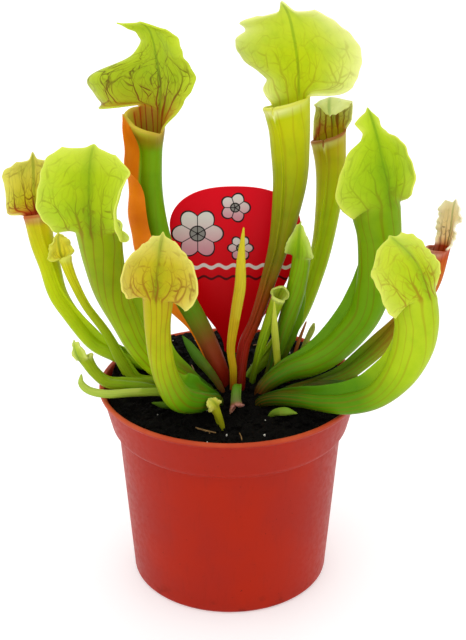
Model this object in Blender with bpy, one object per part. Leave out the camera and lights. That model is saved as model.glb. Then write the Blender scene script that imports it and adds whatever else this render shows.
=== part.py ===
"""Potted trumpet pitcher plant: a clump of hooded pitcher leaves in a moulded nursery pot.

The pot, the peat, the picture card and every leaf are separate solids. The origin is
the middle of the pot's underside, +Z is up and -Y is the side that the plant shows. Sizes in the
tables are millimetres, and the meshes are metres.
"""

import math

import bmesh
import bpy
import numpy as np

MM = 0.001
CLEARANCE = 0.35

# The pot: a 12 cm nursery pot with a flared collar.
POT_HEIGHT = 96.5
RIM_RADIUS = 60.0
COLLAR_FOOT_RADIUS = 54.6
STEP_HEIGHT = 76.6
STEP_RADIUS = 51.7
BASE_RADIUS = 46.3
POT_WALL = 1.1
POT_FLOOR = 1.6
LIP_THICKNESS = 1.9
DRAIN_HOLES = 6
DRAIN_HOLE_RADIUS = 4.0
DRAIN_CIRCLE_RADIUS = 31.0
POT_SEGMENTS = 36

# The peat: its skin is a little below the rim in front and heaped behind.
SOIL_EDGE_DROP = 6.0
SOIL_HEAP = 7.0
SOIL_LEFT_HEAP = 5.0
SOIL_CROWN_HEAP = 4.0
SOIL_LUMP = 1.5
SOIL_RINGS = 7
SOIL_SEGMENTS = 28

# The crown, where every leaf of the clump starts.
CROWN = (4.0, -6.0)

# The picture card on its stake.
CARD_CENTRE_X = 2.5
CARD_Y = 35.0
CARD_LEAN = math.radians(4.0)
CARD_TOP = 178.5
CARD_MIDDLE = 160.0
CARD_HALF_WIDTH = 30.5
CARD_THICKNESS = 0.8
STAKE_HALF_WIDTH = 5.0
CARD_SHOULDERS = ((100, 5.0), (106, 7.0), (114, 13.0), (124, 20.0), (136, 26.0), (148, 29.5))
STAKE_FOOT = 62.0

# Leaf walls and how finely the leaves are divided.
TUBE_WALL = 0.9
BLADE = 0.7
NECK_HALF_ANGLE = math.radians(84.0)
BACK_COLUMNS = 8
FRONT_COLUMNS = 2
LARGE_GRID = (12, 3, 8)
SMALL_GRID = (8, 2, 4)
SMALL_PITCHERS = (
    "pitcher_bud",
    "leaf_young",
    "pitcher_small",
    "pitcher_baby",
    "seedling_left",
    "seedling_centre",
)
HOOD_SMOOTHING = 0.5
TURN_START = 0.45
LIP_ROLL = 1.0
FIN_HALF_THICKNESS = 0.4
FIN_LEAST = 0.35
FIN_COLUMNS = 6
SPACE_COLUMNS = (0, 2, 4, 6, 8, 10, 11, 12, 13, 14, 15, 16, 18)
SPACE_GROWTH = 0.65
SPACE_REACH = 1.5
FACING_RISE = 0.6
WING_RISE = 0.38
WING_FALL = 0.35
WING_FLATNESS = 0.6
WING_WAVES = 2.2
WING_UNBEND = 0.9
WING_UNBEND_FROM = 0.75
FIN_ALONG = (0.0, 0.55, 1.0, 1.0, 0.55, 0.0)
FIN_FACES = (1.6, 1.0, 0.9, -0.9, -1.0, -1.6)

# Where along the tube the mouth flares, and where up the hood, from neck (0) to tip (1), each change runs.
MOUTH_FROM = 0.86
ROWS_POWER = 1.45
OPENING = (0.0, 0.14)
CUPPING = (0.0, 0.22)
ROLLING = (0.02, 0.2)
ROLL_EASES = (0.45, 0.95)
ROLL_EASED_SHARE = 0.6
ROLL_GAIN = 2.2
JOINING = (0.0, 0.2)
CURLING = (0.8, 1.0)
ARCH_POWER = 1.2
SWAY_POWER = 1.5
LOW_HANGS = (0.0, 0.16)
LOW_ENDS = (0.25, 0.75)
HIGH_HANGS = (0.5, 0.9)
HANG_POWER = 1.7
RIPPLE_STARTS = (0.1, 0.3)
RIPPLE_ENDS = (0.85, 1.0)
RIPPLE_PHASE = 0.21
POINT_HALF_WIDTH = 0.18
LEAST_HALF_WIDTH = 1.2
THINNING = (0.0, 0.4)
CURVE_STEPS = 60

# A blade's keel behind, and its least thickness, against its half width.
KEEL = 0.3
BLADE_SWELL = 0.25
BLADE_LEAST = 0.3

# Each pitcher is one leaf. Its spine is x, y, z and radius from foot to mouth. "faces" is the compass
# angle that its wing and its mouth point to, 0 along +X and 90 along +Y. The hood's half widths go from
# neck to tip along its own height, on the -R and the +R side, where R is the side that lies to the
# right when the mouth points away. "droop" is how far the low and the high half of each side hang down.
# "lip_tilt" is how far the lip rises on the +R side and falls on the -R side.
PITCHERS = {
    "pitcher_rear_left": dict(
        spine=[
            (-2, 0, 88, 2.4),
            (-3, 0, 97, 3.4),
            (-6.5, 0.8, 107, 4.2),
            (-14, 8, 121, 4.8),
            (-24, 16, 138, 5.0),
            (-32, 25, 156, 5.3),
            (-36, 31, 176, 5.5),
            (-36.5, 36, 195, 5.8),
            (-36.5, 38, 210, 7.2),
        ],
        faces=(-180, -132),
        wing=25.0,
        wing_foot=0.25,
        wing_curl=-160,
        wing_top=1.08,
        wing_wave=0.06,
        lip_drop=1.5,
        lip_tilt=5.5,
        flare=0.7,
        hood=dict(
            height=46, arch=36, lean=-8, sway=1,
            cup=(0.4, 0.3), reflex=(0.6, 0.5), curl=40, point=2.0,
        ),
        minus=(9, 14, 19, 18, 16, 11),
        plus=(14, 41, 50, 17, 8, 15),
        droop=((2.0, 7.0), (3.0, -1.0)),
        ripple=1.5,
        waves=2.2,
    ),
    "pitcher_centre": dict(
        spine=[
            (4, -4, 88, 2.4),
            (4, -4, 96, 3.1),
            (5, -2, 105, 2.8),
            (7, 2, 115, 2.8),
            (12, 7, 125, 2.8),
            (18, 12, 143, 3.6),
            (23, 17, 160, 5.0),
            (27, 23, 184, 7.6),
            (27, 27, 202, 8.9),
            (26, 29, 221, 9.8),
        ],
        faces=(-100, -128),
        wing=2.5,
        wing_foot=0.05,
        wing_curl=0,
        wing_top=0.9,
        wing_wave=0.0,
        lip_drop=2.0,
        lip_tilt=-2.0,
        flare=0.22,
        hood=dict(
            height=39.5, arch=24, lean=-4, sway=1,
            cup=(0.2, 0.3), reflex=(0.4, 0.7), curl=20, point=6.5,
        ),
        minus=(19, 27, 31, 31, 25, 15),
        plus=(16, 20, 35, 36, 25, 14),
        droop=((3.0, 1.0), (-2.0, 3.0)),
        ripple=1.2,
        waves=1.8,
    ),
    "pitcher_rear_right": dict(
        spine=[
            (6, 5, 88, 2.2),
            (10, 8, 96, 2.5),
            (21, 15, 107, 3.6),
            (31, 23, 118.5, 4.6),
            (39, 32, 135, 4.6),
            (44, 39, 152, 5.0),
            (47, 46, 178, 6.7),
            (46, 50, 200, 8.0),
        ],
        faces=(-120, -112),
        wing=2.5,
        wing_foot=0.05,
        wing_curl=0,
        wing_top=0.9,
        wing_wave=0.0,
        lip_drop=3.0,
        lip_tilt=-2.0,
        flare=0.2,
        hood=dict(
            height=37, arch=158, lean=-4, sway=-5,
            cup=(0.6, 0.7), reflex=(0.1, 0.1), curl=0, point=0.3,
        ),
        minus=(10, 10, 10, 10, 9, 5),
        plus=(11, 9.5, 8.5, 8, 6.5, 3.5),
        droop=((0.5, 0.5), (0.0, 0.0)),
        ripple=0.5,
        waves=1.6,
    ),
    "pitcher_right": dict(
        spine=[
            (12, -8, 88, 2.6),
            (16, -7, 97, 3.2),
            (26, -5, 103.5, 4.4),
            (37.5, -3, 107, 5.8),
            (49, 0, 114, 6.6),
            (61, 4, 128, 7.4),
            (66, 7, 145, 8.6),
            (67, 9, 162, 9.8),
            (65.5, 11, 177, 10.6),
        ],
        faces=(150, 122),
        wing=4.0,
        wing_foot=0.05,
        wing_curl=0,
        wing_top=0.9,
        wing_wave=0.1,
        lip_drop=1.5,
        lip_tilt=0.0,
        flare=0.2,
        hood=dict(
            height=46, arch=28, lean=10, sway=5,
            cup=(1.0, 0.6), reflex=(0.5, 1.3), curl=0, point=2.0,
        ),
        minus=(13, 20, 25, 18, 7, 9),
        plus=(10, 12, 16, 14, 5, 3),
        droop=((7.0, 3.0), (3.0, 4.0)),
        ripple=1.5,
        waves=2.0,
    ),
    "pitcher_front_right": dict(
        spine=[
            (11, -14, 88, 2.4),
            (15, -16, 94, 2.6),
            (23, -20, 97.5, 3.2),
            (33, -26, 100, 3.6),
            (43, -32, 101.5, 4.2),
            (53, -36, 103.5, 4.8),
            (64, -38, 108.7, 5.6),
            (73, -38, 119, 7.4),
            (78, -37, 131, 9.0),
            (79.5, -36, 142, 9.4),
            (78.5, -34, 152, 9.4),
        ],
        faces=(150, 126),
        wing=5.0,
        wing_foot=0.05,
        wing_curl=0,
        wing_top=0.9,
        wing_wave=0.1,
        lip_drop=1.5,
        lip_tilt=0.0,
        flare=0.2,
        hood=dict(
            height=36, arch=62, lean=16, sway=3,
            cup=(1.0, 0.4), reflex=(0.5, 0.9), curl=-10, point=2.0,
        ),
        minus=(14, 19, 22, 22, 17, 10),
        plus=(8, 9, 10, 11, 11, 8),
        droop=((8.0, -3.0), (1.0, -3.0)),
        ripple=1.2,
        waves=1.8,
    ),
    "pitcher_front_left": dict(
        spine=[
            (-4, -14, 88, 2.4),
            (-6, -17, 95, 3.0),
            (-10, -23, 98, 4.0),
            (-15.5, -30, 101.5, 5.4),
            (-22, -38, 107.5, 6.0),
            (-26.5, -42, 118, 5.5),
            (-29, -44, 130, 5.3),
            (-30, -45, 144, 5.5),
            (-29.5, -46, 158, 6.4),
        ],
        faces=(60, 82),
        wing=8.0,
        wing_foot=0.05,
        wing_curl=0,
        wing_top=0.62,
        wing_wave=0.05,
        lip_drop=1.5,
        lip_tilt=0.0,
        flare=0.2,
        hood=dict(
            height=29, arch=40, lean=0, sway=1,
            cup=(0.5, 0.3), reflex=(1.1, 0.8), curl=10, point=2.0,
        ),
        minus=(7, 13, 15.5, 14, 8, 4),
        plus=(7, 14, 18.5, 16, 11, 5),
        droop=((3.0, 6.0), (0.0, 2.0)),
        ripple=1.2,
        waves=2.4,
    ),
    "pitcher_dry": dict(
        spine=[
            (18, -14, 88, 2.0),
            (21, -13, 94, 2.2),
            (28, -11, 96.5, 2.6),
            (38, -7, 96.5, 3.0),
            (51, 1, 97.5, 3.2),
            (61.5, 8, 102, 3.5),
            (74, 15, 111, 3.9),
            (85.5, 22, 122.5, 4.4),
            (93.5, 27, 135, 5.0),
            (97.5, 29, 152, 5.0),
        ],
        faces=(185, 205),
        wing=2.5,
        wing_foot=0.05,
        wing_curl=0,
        wing_top=0.8,
        wing_wave=0.2,
        lip_drop=3.0,
        lip_tilt=0.0,
        flare=0.2,
        hood=dict(
            height=21, arch=6, lean=6, sway=0,
            cup=(0.8, 0.8), reflex=(0.3, 0.3), curl=-10, point=2.0,
        ),
        minus=(6, 6, 6, 7, 12, 10),
        plus=(7, 8, 8, 9, 8, 6),
        droop=((1.0, 1.0), (0.0, 0.0)),
        ripple=0.9,
        waves=2.5,
    ),
    "pitcher_left": dict(
        spine=[
            (-7, -9, 88, 2.4),
            (-9, -9, 94, 3.0),
            (-20, -10, 101, 4.2),
            (-32, -12, 109.5, 5.0),
            (-40, -14, 121, 5.8),
            (-46, -16, 135, 6.4),
            (-51.5, -18, 150, 7.6),
            (-54, -20, 165, 8.8),
            (-55.5, -22, 179, 9.6),
        ],
        faces=(25, 80),
        wing=8.0,
        wing_foot=0.05,
        wing_curl=0,
        wing_top=0.85,
        wing_wave=0.08,
        lip_drop=1.5,
        lip_tilt=0.0,
        flare=0.2,
        hood=dict(
            height=40, arch=42, lean=2, sway=2,
            cup=(0.3, 0.4), reflex=(0.7, 1.2), curl=20, point=2.0,
        ),
        minus=(11, 17, 22, 22, 20, 14),
        plus=(13, 17, 14, 17, 18, 10),
        droop=((3.0, 6.0), (-1.0, 4.0)),
        ripple=1.3,
        waves=2.2,
    ),
    "pitcher_far_left": dict(
        spine=[
            (-12, 3, 88, 2.0),
            (-16, 4, 95, 2.4),
            (-30, 8, 99, 3.0),
            (-44, 12, 101, 3.6),
            (-55, 15, 104, 3.8),
            (-64.5, 18, 108.5, 3.8),
            (-74.5, 22, 120.5, 4.0),
            (-80.5, 25, 130, 4.5),
            (-84, 29, 142, 5.0),
            (-87.5, 33, 153, 5.7),
            (-89.5, 36, 165, 6.2),
        ],
        faces=(-30, -80),
        wing=3.0,
        wing_foot=0.05,
        wing_curl=0,
        wing_top=0.8,
        wing_wave=0.15,
        lip_drop=0.5,
        lip_tilt=0.0,
        flare=0.5,
        hood=dict(
            height=26, arch=26, lean=-4, sway=-3,
            cup=(0.6, 0.5), reflex=(0.7, 0.9), curl=20, point=5.0,
        ),
        minus=(9, 11, 11, 12, 11, 6),
        plus=(11, 14, 14, 14, 14, 8),
        droop=((2.0, 2.0), (1.0, -1.0)),
        ripple=0.8,
        waves=2.0,
    ),
    "pitcher_bud": dict(
        spine=[
            (-13, -3, 88, 1.6),
            (-17, -3, 94.5, 1.8),
            (-31, -2, 97.5, 2.2),
            (-43, 3, 94.1, 2.6),
            (-50, 7, 102.7, 2.6),
            (-57, 12, 114.8, 2.0),
            (-66.7, 18, 126.6, 2.0),
            (-73, 23, 138, 2.3),
            (-76.5, 26, 147, 2.8),
        ],
        faces=(0, -50),
        wing=2.0,
        wing_foot=0.05,
        wing_curl=0,
        wing_top=0.6,
        wing_wave=0.0,
        lip_drop=0.5,
        lip_tilt=0.0,
        flare=0.1,
        hood=dict(
            height=13, arch=45, lean=0, sway=0,
            cup=(0.8, 0.8), reflex=(0.6, 0.6), curl=10, point=1.5,
        ),
        minus=(5, 6.5, 6.5, 6, 4.5, 3),
        plus=(5, 7, 7.5, 6, 4.5, 3),
        droop=((1.0, 1.5), (1.0, 1.0)),
        ripple=0.8,
        waves=2.2,
    ),
    "leaf_young": dict(
        spine=[
            (14, 3.5, 88, 1.6),
            (17, 4, 95, 2.0),
            (20, 5, 102, 2.8),
            (25, 7.5, 119, 3.8),
            (29.5, 10, 135, 4.4),
            (31.8, 11, 147.5, 4.2),
            (32.3, 11, 153.5, 4.0),
        ],
        faces=(20, 60),
        wing=3.0,
        wing_foot=0.05,
        wing_curl=0,
        wing_top=1.1,
        wing_wave=0.1,
        lip_drop=0.5,
        lip_tilt=0.0,
        flare=0.1,
        hood=dict(
            height=16, arch=25, lean=4, sway=-2,
            cup=(0.8, 0.8), reflex=(0.6, 0.6), curl=0, point=1.5,
        ),
        minus=(5.5, 7.5, 6.5, 5, 3.5, 2),
        plus=(5.5, 7, 6, 4.5, 3, 1.5),
        droop=((1.5, 1.0), (0.5, 0.5)),
        ripple=0.4,
        waves=2.0,
    ),
    "pitcher_small": dict(
        spine=[
            (9, 1, 88, 1.3),
            (10.5, 0.5, 97, 1.5),
            (12, 0, 105, 1.6),
            (15, 1, 116.5, 2.2),
            (19, 3, 128, 2.8),
            (22, 4.5, 136, 3.2),
        ],
        faces=(-80, -80),
        wing=1.0,
        wing_foot=0.05,
        wing_curl=0,
        wing_top=0.9,
        wing_wave=0.0,
        lip_drop=0.5,
        lip_tilt=0.0,
        flare=0.1,
        hood=dict(
            height=10, arch=95, lean=0, sway=0,
            cup=(1.1, 1.1), reflex=(0.2, 0.2), curl=0, point=1.0,
        ),
        minus=(4.5, 5, 5, 4.5, 3.5, 2.4),
        plus=(4.5, 5, 5, 4.5, 3.5, 2.4),
        droop=((0.3, 0.3), (0.0, 0.0)),
        ripple=0.2,
        waves=1.5,
    ),
    "seedling_left": dict(
        spine=[
            (-23, -15.5, 88, 1.3),
            (-26, -15.2, 96, 1.6),
            (-36, -15, 100.5, 2.0),
            (-47, -14.5, 101.5, 2.2),
            (-55, -14, 102.5, 2.3),
            (-60.5, -13.5, 107.5, 2.5),
            (-64.5, -13, 114, 3.0),
        ],
        faces=(60, 60),
        wing=1.5,
        wing_foot=0.05,
        wing_curl=0,
        wing_top=0.9,
        wing_wave=0.1,
        lip_drop=0.4,
        lip_tilt=0.0,
        flare=0.1,
        hood=dict(
            height=10, arch=35, lean=0, sway=0,
            cup=(0.8, 0.8), reflex=(0.5, 0.5), curl=0, point=1.0,
        ),
        minus=(4.5, 5, 5, 4.5, 3.5, 2.4),
        plus=(4.5, 5, 5, 4.5, 3.5, 2.4),
        droop=((0.8, 0.8), (0.0, 0.0)),
        ripple=0.4,
        waves=2.0,
    ),
    "pitcher_baby": dict(
        spine=[
            (3.4, -13.2, 89, 1.1),
            (3.4, -13.4, 94, 1.3),
            (3.2, -14.5, 99, 1.5),
            (3.0, -17.5, 102, 1.7),
            (2.8, -21.0, 102.5, 1.9),
            (2.6, -24.0, 100.2, 2.1),
            (2.6, -26.0, 97.3, 2.3),
        ],
        faces=(10, 10),
        wing=0.8,
        wing_foot=0.3,
        wing_curl=0,
        wing_top=0.9,
        wing_wave=0.0,
        lip_drop=0.3,
        lip_tilt=0.0,
        flare=0.2,
        hood=dict(
            height=3.5, arch=20, lean=-15, sway=0,
            cup=(0.9, 0.9), reflex=(0.2, 0.2), curl=0, point=0.3,
        ),
        minus=(3.6, 3.5, 3.2, 2.8, 2.2, 1.6),
        plus=(3.6, 3.5, 3.2, 2.8, 2.2, 1.6),
        droop=((0.2, 0.2), (0.2, 0.2)),
        ripple=0.1,
        waves=1.5,
    ),
    "seedling_centre": dict(
        spine=[
            (-2.5, -34.5, 87, 1.0),
            (-3.5, -34, 92, 1.3),
            (-5, -33.5, 96.5, 1.7),
            (-6.5, -33, 99.5, 2.2),
        ],
        faces=(150, 150),
        wing=0.8,
        wing_foot=0.05,
        wing_curl=0,
        wing_top=0.9,
        wing_wave=0.0,
        lip_drop=0.2,
        lip_tilt=0.0,
        flare=0.2,
        hood=dict(
            height=6, arch=60, lean=0, sway=0,
            cup=(0.8, 0.8), reflex=(0.5, 0.5), curl=0, point=0.5,
        ),
        minus=(3.2, 4.0, 4.0, 3.6, 3.0, 2.2),
        plus=(3.2, 4.0, 4.0, 3.6, 3.0, 2.2),
        droop=((0.5, 0.5), (0.0, 0.0)),
        ripple=0.5,
        waves=2.0,
    ),
}

# Leaves without a mouth. Their spine is x, y, z and half width, and the flat side lies along "faces".
BLADES = {
    "spike_tall": dict(
        spine=[
            (1, -9.5, 88, 1.3),
            (1.5, -9, 97, 1.5),
            (1.5, -8.5, 107, 1.7),
            (0.5, -7, 117, 1.9),
            (2.8, -5.5, 134, 2.4),
            (4.6, -5, 146, 2.5),
            (5, -5, 159, 1.9),
            (6.1, -5, 173, 0.4),
        ],
        faces=-95,
        thickness=0.8,
    ),
    "spike_short": dict(
        spine=[
            (23, 2, 88, 1.2),
            (22.5, 1.5, 98, 1.5),
            (21.8, 0.5, 107, 1.6),
            (21, -1, 116, 1.7),
            (20.3, -2.5, 125, 1.5),
            (20, -3, 137, 0.4),
        ],
        faces=-90,
        thickness=0.8,
    ),
    "leaf_inner": dict(
        spine=[
            (-2.5, -8, 88, 1.2),
            (-3.5, -7, 95, 1.5),
            (-8, -6.5, 103, 2.0),
            (-14, -6, 111, 2.5),
            (-18.5, -5, 117.5, 1.7),
            (-21, -4.5, 121, 0.4),
        ],
        faces=-80,
        thickness=0.8,
    ),
    "blade_right": dict(
        spine=[
            (26, -16, 88, 1.4),
            (27, -16, 95, 1.8),
            (32, -16.5, 100, 2.0),
            (42, -17, 103, 2.2),
            (54, -18, 103.5, 1.8),
            (62, -18, 104.5, 0.4),
        ],
        faces=-90,
        thickness=0.6,
    ),
    "blade_left": dict(
        spine=[
            (-12, -17.5, 88, 1.3),
            (-15, -19.5, 94, 1.6),
            (-22, -22, 95.5, 1.8),
            (-29, -24, 96.5, 1.6),
            (-34, -25, 98, 0.5),
        ],
        faces=-80,
        thickness=0.6,
    ),
    "leaf_crescent": dict(
        spine=[
            (17, -26, 90, 1.0),
            (20, -27, 94, 1.6),
            (25, -28, 95.5, 1.9),
            (29.5, -28, 94.5, 0.5),
        ],
        faces=-60,
        thickness=0.6,
    ),
    "seedling_hooked": dict(
        spine=[
            (-16, -15, 88, 1.1),
            (-18, -16.5, 95.5, 1.4),
            (-28, -20.5, 101, 1.8),
            (-42, -22, 101.8, 1.9),
            (-54, -22, 101, 1.9),
            (-62, -21, 102, 1.8),
            (-66, -20, 105, 1.5),
            (-66, -19.5, 109, 0.5),
        ],
        faces=-90,
        thickness=0.9,
    ),
    "twig": dict(
        spine=[
            (27, 4, 88, 0.9),
            (27.5, 4, 96, 1.0),
            (29, 5, 104, 0.9),
            (32, 7, 114, 0.8),
            (35, 9, 122, 0.4),
        ],
        faces=-90,
        thickness=0.8,
    ),
    "seedling_curled_a": dict(
        spine=[
            (30, 14, 90, 0.8),
            (32, 14, 100, 0.9),
            (35, 15, 108, 1.1),
            (38, 15, 115, 1.4),
            (39, 14, 119, 0.6),
        ],
        faces=-90,
        thickness=0.8,
    ),
    "seedling_curled_b": dict(
        spine=[
            (34, 9, 90, 0.8),
            (36, 9, 99, 0.9),
            (39, 10, 107, 1.1),
            (42, 10, 113, 1.4),
            (45, 9.5, 116, 0.6),
        ],
        faces=-90,
        thickness=0.8,
    ),
}


def eased(value, low=0.0, high=1.0):
    """0 below low, 1 above high and a smooth step between them."""
    t = np.clip((np.asarray(value, float) - low) / (high - low), 0.0, 1.0)
    return t * t * (3.0 - 2.0 * t)


def through(values, position):
    """A smooth curve through evenly spaced values, read at positions from 0 to 1."""
    knots = np.array(values, float)
    if knots.ndim == 1:
        knots = knots[:, None]
    padded = np.vstack([2 * knots[0] - knots[1], knots, 2 * knots[-1] - knots[-2]])
    at = np.clip(np.asarray(position, float), 0.0, 1.0) * (len(knots) - 1)
    left = np.minimum(at.astype(int), len(knots) - 2)
    t = (at - left)[:, None]
    a, b, c, d = (padded[left + step] for step in range(4))
    return 0.5 * (
        2 * b + (c - a) * t + (2 * a - 5 * b + 4 * c - d) * t**2 + (3 * b - a - 3 * c + d) * t**3
    )


def along(spine, count):
    """The spine's smooth curve as evenly spaced points, with the radius as its last column."""
    fine = through(spine, np.linspace(0.0, 1.0, CURVE_STEPS * len(spine)))
    steps = np.linalg.norm(np.diff(fine[:, :3], axis=0), axis=1)
    travelled = np.concatenate([[0.0], np.cumsum(steps)])
    wanted = np.linspace(0.0, travelled[-1], count)
    return np.stack([np.interp(wanted, travelled, column) for column in fine.T], axis=1)


def unit(vectors):
    return vectors / np.linalg.norm(vectors, axis=-1, keepdims=True)


def frames(path, compass):
    """Along, front and right directions at each point: the front turns up where the leaf lies down."""
    forward = unit(np.gradient(path[:, :3], axis=0))
    angle = np.radians(compass)
    wanted = np.stack([np.cos(angle), np.sin(angle), np.full_like(angle, FACING_RISE)], axis=1)
    front = unit(wanted - (wanted * forward).sum(axis=1, keepdims=True) * forward)
    return forward, front, np.cross(front, forward)


def grid_triangles(index, closed, flip=False, mirrored=False):
    """Triangles of a grid of vertex numbers. Columns that are "mirrored" are split the other way."""
    following = np.roll(index, -1, axis=1) if closed else index[:, 1:]
    own = index if closed else index[:, :-1]
    a, b, c, d = own[:-1], following[:-1], following[1:], own[1:]
    other = np.broadcast_to(mirrored, a.shape)[..., None]
    first = np.where(other, np.stack([a, b, d], -1), np.stack([a, b, c], -1))
    second = np.where(other, np.stack([b, c, d], -1), np.stack([a, c, d], -1))
    both = np.concatenate([first.reshape(-1, 3), second.reshape(-1, 3)])
    return both[:, ::-1] if flip else both


def strip(first, second):
    """Triangles between two rows of vertex numbers of one length."""
    return grid_triangles(np.stack([first, second]), closed=False)


def fan(ring, centre):
    following = np.roll(ring, -1)
    return np.stack([ring, following, np.full_like(ring, centre)], axis=1)


def solid(name, points, triangles, colour, roughness=0.5):
    """A mesh object whose faces all point out, with its own material."""
    mesh = bpy.data.meshes.new(name)
    mesh.from_pydata((np.asarray(points) * MM).tolist(), [], np.asarray(triangles).tolist())
    shape = bmesh.new()
    shape.from_mesh(mesh)
    bmesh.ops.recalc_face_normals(shape, faces=shape.faces)
    if shape.calc_volume(signed=True) < 0:
        bmesh.ops.reverse_faces(shape, faces=shape.faces)
    shape.to_mesh(mesh)
    shape.free()
    thing = bpy.data.objects.new(name, mesh)
    bpy.context.scene.collection.objects.link(thing)
    mesh.materials.append(material(name, colour, roughness))
    mesh.shade_smooth()
    mesh.set_sharp_from_angle(angle=math.radians(50))
    return thing


def material(name, colour, roughness):
    made = bpy.data.materials.new(name)
    made.use_nodes = True
    shader = made.node_tree.nodes["Principled BSDF"]
    shader.inputs["Base Color"].default_value = (*colour, 1.0)
    shader.inputs["Roughness"].default_value = roughness
    made.diffuse_color = (*colour, 1.0)
    return made


def ring_angles():
    """The ring's columns, measured from the back of the tube: the neck's arc, then round the front."""
    back = np.linspace(-NECK_HALF_ANGLE, NECK_HALF_ANGLE, BACK_COLUMNS + 1)
    side = np.linspace(NECK_HALF_ANGLE, math.pi, FRONT_COLUMNS + 2)[1:-1]
    fin = np.full(FIN_COLUMNS, math.pi)
    return np.concatenate([back, side, fin, 2 * math.pi - side[::-1]])


def fin_columns():
    first = BACK_COLUMNS + 1 + FRONT_COLUMNS
    return slice(first, first + FIN_COLUMNS)


def tube_rings(leaf, path, forward, front, right, shrink):
    """Rings round the spine. All but the throat's (shrink over 0) carry the wing, a thin fin in front."""
    angle = ring_angles()
    share = np.linspace(0.0, 1.0, len(path))[:, None]
    radius = path[:, 3:4] - shrink
    is_front = eased(np.abs(np.where(angle > math.pi, 2 * math.pi - angle, angle)), NECK_HALF_ANGLE, 3.0)
    mouth = eased(share, MOUTH_FROM, 1.0)
    across = radius * (1 + leaf["flare"] * mouth**2 * is_front)
    sideways = across * np.sin(angle)
    ahead = -across * np.cos(angle)
    grow = max(0.0, -shrink)
    if shrink == 0.0:
        roll = LIP_ROLL * is_front * (share == 1.0)
        sideways = sideways + roll * np.sin(angle)
        ahead = ahead - roll * np.cos(angle)
    fin = fin_columns()
    along_wing = np.array(FIN_ALONG)
    face = np.array(FIN_FACES)
    if shrink <= 0.0:
        top = leaf["wing_top"]
        width = leaf["wing"] * eased(share, leaf["wing_foot"], leaf["wing_foot"] + WING_RISE)
        width = width * (1 - eased(share, top - WING_FALL, top))
        width = width * (1 + leaf["wing_wave"] * np.sin(2 * math.pi * WING_WAVES * share))
        bend = math.radians(leaf["wing_curl"]) * (1 - WING_UNBEND * eased(share, WING_UNBEND_FROM, 1.0))
        bend = bend * along_wing * width / leaf["wing"] + 1e-6
        reach = (FIN_LEAST + width + grow) * along_wing
        slip = WING_FLATNESS * reach * (1 - np.cos(bend)) / bend
        forth = reach * np.sin(bend) / bend
        half = face * (np.minimum(FIN_HALF_THICKNESS, 0.25 * radius) + grow)
        sideways[:, fin] = slip + half * np.cos(bend)
        ahead[:, fin] = ahead[:, fin] + forth - half * np.sin(bend)
    else:
        sideways[:, fin] = face * np.minimum(FIN_HALF_THICKNESS, 0.25 * radius) * (1 - 0.6 * along_wing)
    drop = (leaf["lip_tilt"] * np.sin(angle) - leaf["lip_drop"] * (1 - np.cos(angle)) / 2) * mouth
    if shrink == 0.0:
        drop[:, fin] = drop[:, fin] + leaf["lip_tilt"] * along_wing * mouth
    return (
        path[:, None, :3]
        + sideways[..., None] * right[:, None]
        + ahead[..., None] * front[:, None]
        + drop[..., None] * forward[:, None]
    )


def sided(pair, u):
    """A value for each side of the hood: the first for the -R side and the second for the +R side."""
    return np.where(u < 0, pair[0], pair[1])


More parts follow.
